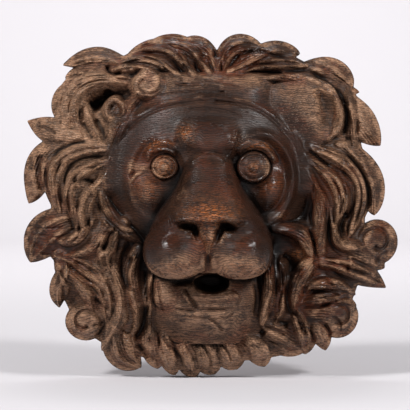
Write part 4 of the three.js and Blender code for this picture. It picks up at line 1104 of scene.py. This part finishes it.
def readSurface(piece):
    mesh = piece.data
    points = np.empty(len(mesh.vertices) * 3)
    mesh.vertices.foreach_get("co", points)
    points = points.reshape(-1, 3) / mm
    x, y, z = points[:, 0], points[:, 1], points[:, 2]
    ground = np.where(foot > 0, height, domeHeight(gridX, gridZ) - shading["behind"])
    ground = np.maximum(ground, 0)
    softened = {name: blur(ground, radius) for name, radius in readings.items()}
    hollow = {name: sample(field - ground, x, z) for name, field in softened.items()}
    edge = sample(softened["fine"] - softened["near"], x, z)
    # Painted shade: the further a point lies below the evened-out surface, the darker it is painted, and
    # the mouth is painted as shadow.
    deep = shading["hollowNear"] * hollow["near"] + shading["hollowMiddle"] * hollow["middle"]
    deep = np.clip(addRounds(np.clip(deep, 0, 1), x, z, [mouthShade]), 0, 1)
    swelling = shading["swell"] * np.clip(-hollow["wide"], -4, 7)
    crest = np.clip(shading["edge"] * edge + swelling - shading["crestFrom"], 0, shading["crestMost"])
    onFront = (sample(ground, x, z) + y < shading["front"]) * 1.0
    values = {
        "deep": deep, "crest": crest, "pale": softSpots(x, z, pale), "rubbed": softSpots(x, z, worn),
        "dark": softSpots(x, z, dark), "gloss": softSpots(x, z, glossy),
    }
    values = {name: field * onFront for name, field in values.items()}
    values["backside"] = 1 - onFront
    for name, field in values.items():
        layer = mesh.attributes.new(name, "FLOAT", "POINT")
        layer.data.foreach_set("value", field.astype(np.float32))
    print("read the surface at", len(x), "points")


readSurface(lionHead)


# Old oak: the grain runs across, shade is painted dark into the hollows, tan where it is worn.
oak = {
    "darkest": (0.004, 0.0025, 0.002), "dark": (0.0115, 0.0062, 0.0045), "body": (0.085, 0.036, 0.019),
    "red": (0.13, 0.034, 0.014), "tan": (0.34, 0.19, 0.112), "rubbed": (0.27, 0.08, 0.02),
    "dust": (0.42, 0.31, 0.23),
    "darkShare": 0.8, "paleShare": 0.9, "wornAll": 0.14, "poreShare": 0.4, "pitShare": 0.22,
    "grainSpacing": 0.0021, "grainTilt": 0.16, "grainBend": 0.02, "grainRipple": 0.0016,
    "roughness": 0.44, "waxedRoughness": 0.07, "patchRoughness": 0.3, "ior": 1.5, "specular": 0.2,
    "bump": 0.7, "bumpHeight": 0.0008,
}
# Noise in the wood: stretch across and in depth, scale, detail, roughness.
woodNoise = {
    "fibre": (0.06, 0.6, 900.0, 3.0, 0.6), "streak": (0.06, 0.6, 190.0, 4.0, 0.65),
    "broad": (1.0, 1.0, 26.0, 4.0, 0.6), "patch": (1.0, 1.0, 75.0, 5.0, 0.65),
    "blotch": (0.5, 1.0, 130.0, 5.0, 0.65), "mottle": (0.7, 1.0, 400.0, 4.0, 0.7),
    "speck": (0.7, 1.0, 1000.0, 2.0, 0.5),
}

agedOak = bpy.data.materials.new("agedOak")
agedOak.use_nodes = True
nodes, links = agedOak.node_tree.nodes, agedOak.node_tree.links
place = nodes.new("ShaderNodeTexCoord").outputs["Object"]


def put(node, key, value):
    if hasattr(value, "is_output"):
        links.new(value, node.inputs[key])
    else:
        node.inputs[key].default_value = value


def worked(kind, a, b=0.0, clamp=False):
    node = nodes.new("ShaderNodeMath")
    node.operation = kind
    node.use_clamp = clamp
    put(node, 0, a)
    put(node, 1, b)
    return node.outputs[0]


def plus(a, b):
    return worked("ADD", a, b)


def times(a, b):
    return worked("MULTIPLY", a, b)


def mixed(amount, under, colour):
    node = nodes.new("ShaderNodeMix")
    node.data_type = "RGBA"
    put(node, "Factor", amount)
    put(node, 6, under if hasattr(under, "is_output") else (*under, 1))
    put(node, 7, (*oak[colour], 1))
    return node.outputs[2]


def ranged(value, low, high, toLow=0.0, toHigh=1.0):
    node = nodes.new("ShaderNodeMapRange")
    node.interpolation_type = "SMOOTHSTEP"
    put(node, 0, value)
    for key, number in zip((1, 2, 3, 4), (low, high, toLow, toHigh)):
        node.inputs[key].default_value = number
    return node.outputs[0]


def noise(across, inDepth, scale, detail, rough):
    stretch = nodes.new("ShaderNodeMapping")
    stretch.inputs["Scale"].default_value = (across, inDepth, 1.0)
    links.new(place, stretch.inputs["Vector"])
    node = nodes.new("ShaderNodeTexNoise")
    links.new(stretch.outputs[0], node.inputs["Vector"])
    for key, value in (("Scale", scale), ("Detail", detail), ("Roughness", rough)):
        node.inputs[key].default_value = value
    return node.outputs[0]


def reading(name):
    node = nodes.new("ShaderNodeAttribute")
    node.attribute_name = name
    return node.outputs["Fac"]


wood = {name: noise(*row) for name, row in woodNoise.items()}
spot = {name: reading(name) for name in ("deep", "crest", "pale", "rubbed", "dark", "gloss", "backside")}


def growthRings():  # cut across by the carving: level, tilted with depth and bent by noise
    parts = nodes.new("ShaderNodeSeparateXYZ")
    links.new(place, parts.inputs[0])
    bent = plus(parts.outputs["Z"], times(parts.outputs["Y"], oak["grainTilt"]))
    bent = plus(bent, times(wood["broad"], oak["grainBend"]))
    bent = plus(bent, times(wood["streak"], oak["grainRipple"]))
    return ranged(worked("SINE", times(bent, 2 * math.pi / oak["grainSpacing"])), 0.1, 1.0)


def wornShare():  # how far the patina is worn down to tan wood
    crest = times(spot["crest"], ranged(wood["patch"], 0.38, 0.6, 0.5, 2.3))
    crest = times(crest, ranged(spot["dark"], 0.0, 1.0, 1.0, 0.15))
    share = plus(plus(times(spot["pale"], oak["paleShare"]), oak["wornAll"]), crest)
    share = worked("SUBTRACT", share, times(spot["dark"], oak["darkShare"]), clamp=True)
    broken = plus(times(wood["mottle"], 0.6), times(wood["patch"], 0.4))
    return times(share, ranged(broken, 0.4, 0.58, 0.35, 1.0))


def oakColour(rings, share):
    streak, mottle, speck = wood["streak"], wood["mottle"], wood["speck"]
    tone = plus(times(wood["patch"], 0.42), plus(times(streak, 0.38), times(mottle, 0.2)))
    base = mixed(ranged(tone, 0.36, 0.62), oak["dark"], "body")
    reddish = times(ranged(wood["broad"], 0.46, 0.6), ranged(mottle, 0.4, 0.6, 0.4, 0.85))
    base = mixed(reddish, base, "red")
    # darkest patina, with painted shade beside the muzzle and in one hollow
    base = mixed(times(spot["dark"], oak["darkShare"]), base, "dark")
    base = mixed(share, base, "tan")
    base = mixed(times(spot["rubbed"], ranged(mottle, 0.42, 0.58, 0.12, 1.0)), base, "rubbed")
    dusty = plus(times(spot["pale"], 0.6), times(spot["rubbed"], 0.22))
    base = mixed(times(ranged(speck, 0.52, 0.7), dusty), base, "dust")
    lines = times(rings, plus(0.4, times(streak, 0.8)))
    base = mixed(times(lines, ranged(share, 0.1, 0.7, 0.9, 0.5)), base, "dark")
    base = mixed(times(ranged(wood["fibre"], 0.54, 0.66), oak["poreShare"]), base, "darkest")
    base = mixed(times(ranged(speck, 0.48, 0.36), oak["pitShare"]), base, "darkest")
    base = mixed(ranged(wood["blotch"], 0.52, 0.66, 0.0, 0.4), base, "dark")
    # painted shade: the hollows and the mouth go towards near black
    base = mixed(ranged(spot["deep"], 0.3, 1.0, 0.0, 0.9), base, "darkest")
    return mixed(times(spot["backside"], ranged(streak, 0.35, 0.65, 0.2, 0.6)), base, "tan")


def oakRoughness():
    waxed = plus(plus(spot["gloss"], times(spot["dark"], 0.12)), times(spot["crest"], 0.6))
    rough = ranged(waxed, 0.0, 0.7, oak["roughness"], oak["waxedRoughness"])
    return plus(rough, times(worked("SUBTRACT", wood["patch"], 0.5), oak["patchRoughness"]))


def oakRelief(rings, share):
    relief = plus(times(rings, -1.0), times(ranged(wood["fibre"], 0.54, 0.66), -0.8))
    relief = plus(plus(relief, times(wood["mottle"], 1.6)), times(wood["speck"], 1.0))
    carried = plus(plus(share, times(spot["rubbed"], 0.5)), times(spot["gloss"], -0.7))
    bump = nodes.new("ShaderNodeBump")
    bump.inputs["Strength"].default_value = oak["bump"]
    bump.inputs["Distance"].default_value = oak["bumpHeight"]
    links.new(times(relief, ranged(carried, 0.0, 0.5, 0.17, 0.9)), bump.inputs["Height"])
    return bump.outputs[0]


def finishOak():
    shader = nodes["Principled BSDF"]
    rings, share = growthRings(), wornShare()
    links.new(oakColour(rings, share), shader.inputs["Base Color"])
    links.new(oakRoughness(), shader.inputs["Roughness"])
    links.new(oakRelief(rings, share), shader.inputs["Normal"])
    shader.inputs["IOR"].default_value = oak["ior"]
    shader.inputs["Specular IOR Level"].default_value = oak["specular"]
    lionHead.data.materials.append(agedOak)
    print("finished the oak")


finishOak()
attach(lionHead, "root")
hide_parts("lion_mask")


# A pale paper sweep under and behind the mask.
paper = {
    "halfWidth": 3.2, "front": -3.2, "bend": 2.4, "radius": 0.8, "height": 2.8, "steps": 16,
    "colour": (0.56, 0.54, 0.56, 1), "roughness": 0.9,
}


def paperSweep(level):
    profile = [(paper["front"], level)]
    for i in range(paper["steps"] + 1):
        angle = math.pi / 2 * i / paper["steps"]
        y = paper["bend"] + paper["radius"] * math.sin(angle)
        profile.append((y, level + paper["radius"] * (1 - math.cos(angle))))
    profile.append((paper["bend"] + paper["radius"], level + paper["height"]))
    points = [(side * paper["halfWidth"], y, z) for y, z in profile for side in (-1, 1)]
    faces = [(2 * i, 2 * i + 1, 2 * i + 3, 2 * i + 2) for i in range(len(profile) - 1)]
    mesh = bpy.data.meshes.new("paper")
    mesh.from_pydata(points, [], faces)
    mesh.polygons.foreach_set("use_smooth", [True] * len(faces))
    sweep = bpy.data.objects.new("paper", mesh)
    bpy.context.scene.collection.objects.link(sweep)
    material = bpy.data.materials.new("whitePaper")
    material.use_nodes = True
    shader = material.node_tree.nodes["Principled BSDF"]
    shader.inputs["Base Color"].default_value = paper["colour"]
    shader.inputs["Roughness"].default_value = paper["roughness"]
    mesh.materials.append(material)


paperSweep(cadBox[0][2])

lamps = {
    "keyLeft": {"at": (-1.2, -1.35, 1.3), "size": 0.36, "watts": 50},
    "fillRight": {"at": (1.25, -1.3, 1.1), "size": 0.32, "watts": 38},
    "lowSoft": {"at": (1.4, -1.5, -0.05), "size": 0.5, "watts": 5},
    "backdrop": {"at": (0.0, 1.3, 2.2), "size": 1.2, "watts": 82, "aim": (0, 3.0, 0.75)},
}
room = {"colour": (0.94, 0.95, 1.0, 1), "strength": 0.15}


def lightStudio():
    for name, lamp in lamps.items():
        data = bpy.data.lights.new(name, "AREA")
        data.shape = "SQUARE"
        data.size = lamp["size"]
        data.energy = lamp["watts"]
        light = bpy.data.objects.new(name, data)
        light.location = lamp["at"]
        toward = Vector(lamp.get("aim", (0, 0, 0))) - Vector(lamp["at"])
        light.rotation_euler = toward.to_track_quat("-Z", "Y").to_euler()
        bpy.context.scene.collection.objects.link(light)
    world = bpy.data.worlds.new("studio")
    world.use_nodes = True
    background = world.node_tree.nodes["Background"]
    background.inputs["Color"].default_value = room["colour"]
    background.inputs["Strength"].default_value = room["strength"]
    bpy.context.scene.world = world
    bpy.context.scene.view_settings.view_transform = "Standard"


lightStudio()

# The photo is 410 pixels square and 0.88 mm to a pixel at the middle of the mane's depth.
view = {
    "distance": 2.2, "elevation": 2.0, "planeDepth": 0.028, "frameWidth": 0.3608,
    "aim": (-0.0026, 0.0009), "sensor": 36.0,
}


def placeCamera():
    lens = bpy.data.cameras.new("camera")
    lens.sensor_width = view["sensor"]
    lens.lens = view["sensor"] * view["distance"] / view["frameWidth"]
    camera = bpy.data.objects.new("camera", lens)
    angle = math.radians(view["elevation"])
    aim = Vector((view["aim"][0], -view["planeDepth"], view["aim"][1]))
    back = Vector((0, -math.cos(angle), math.sin(angle)))
    camera.location = aim + back * view["distance"]
    camera.rotation_euler = (-back).to_track_quat("-Z", "Y").to_euler()
    bpy.context.scene.collection.objects.link(camera)
    bpy.context.scene.camera = camera


placeCamera()
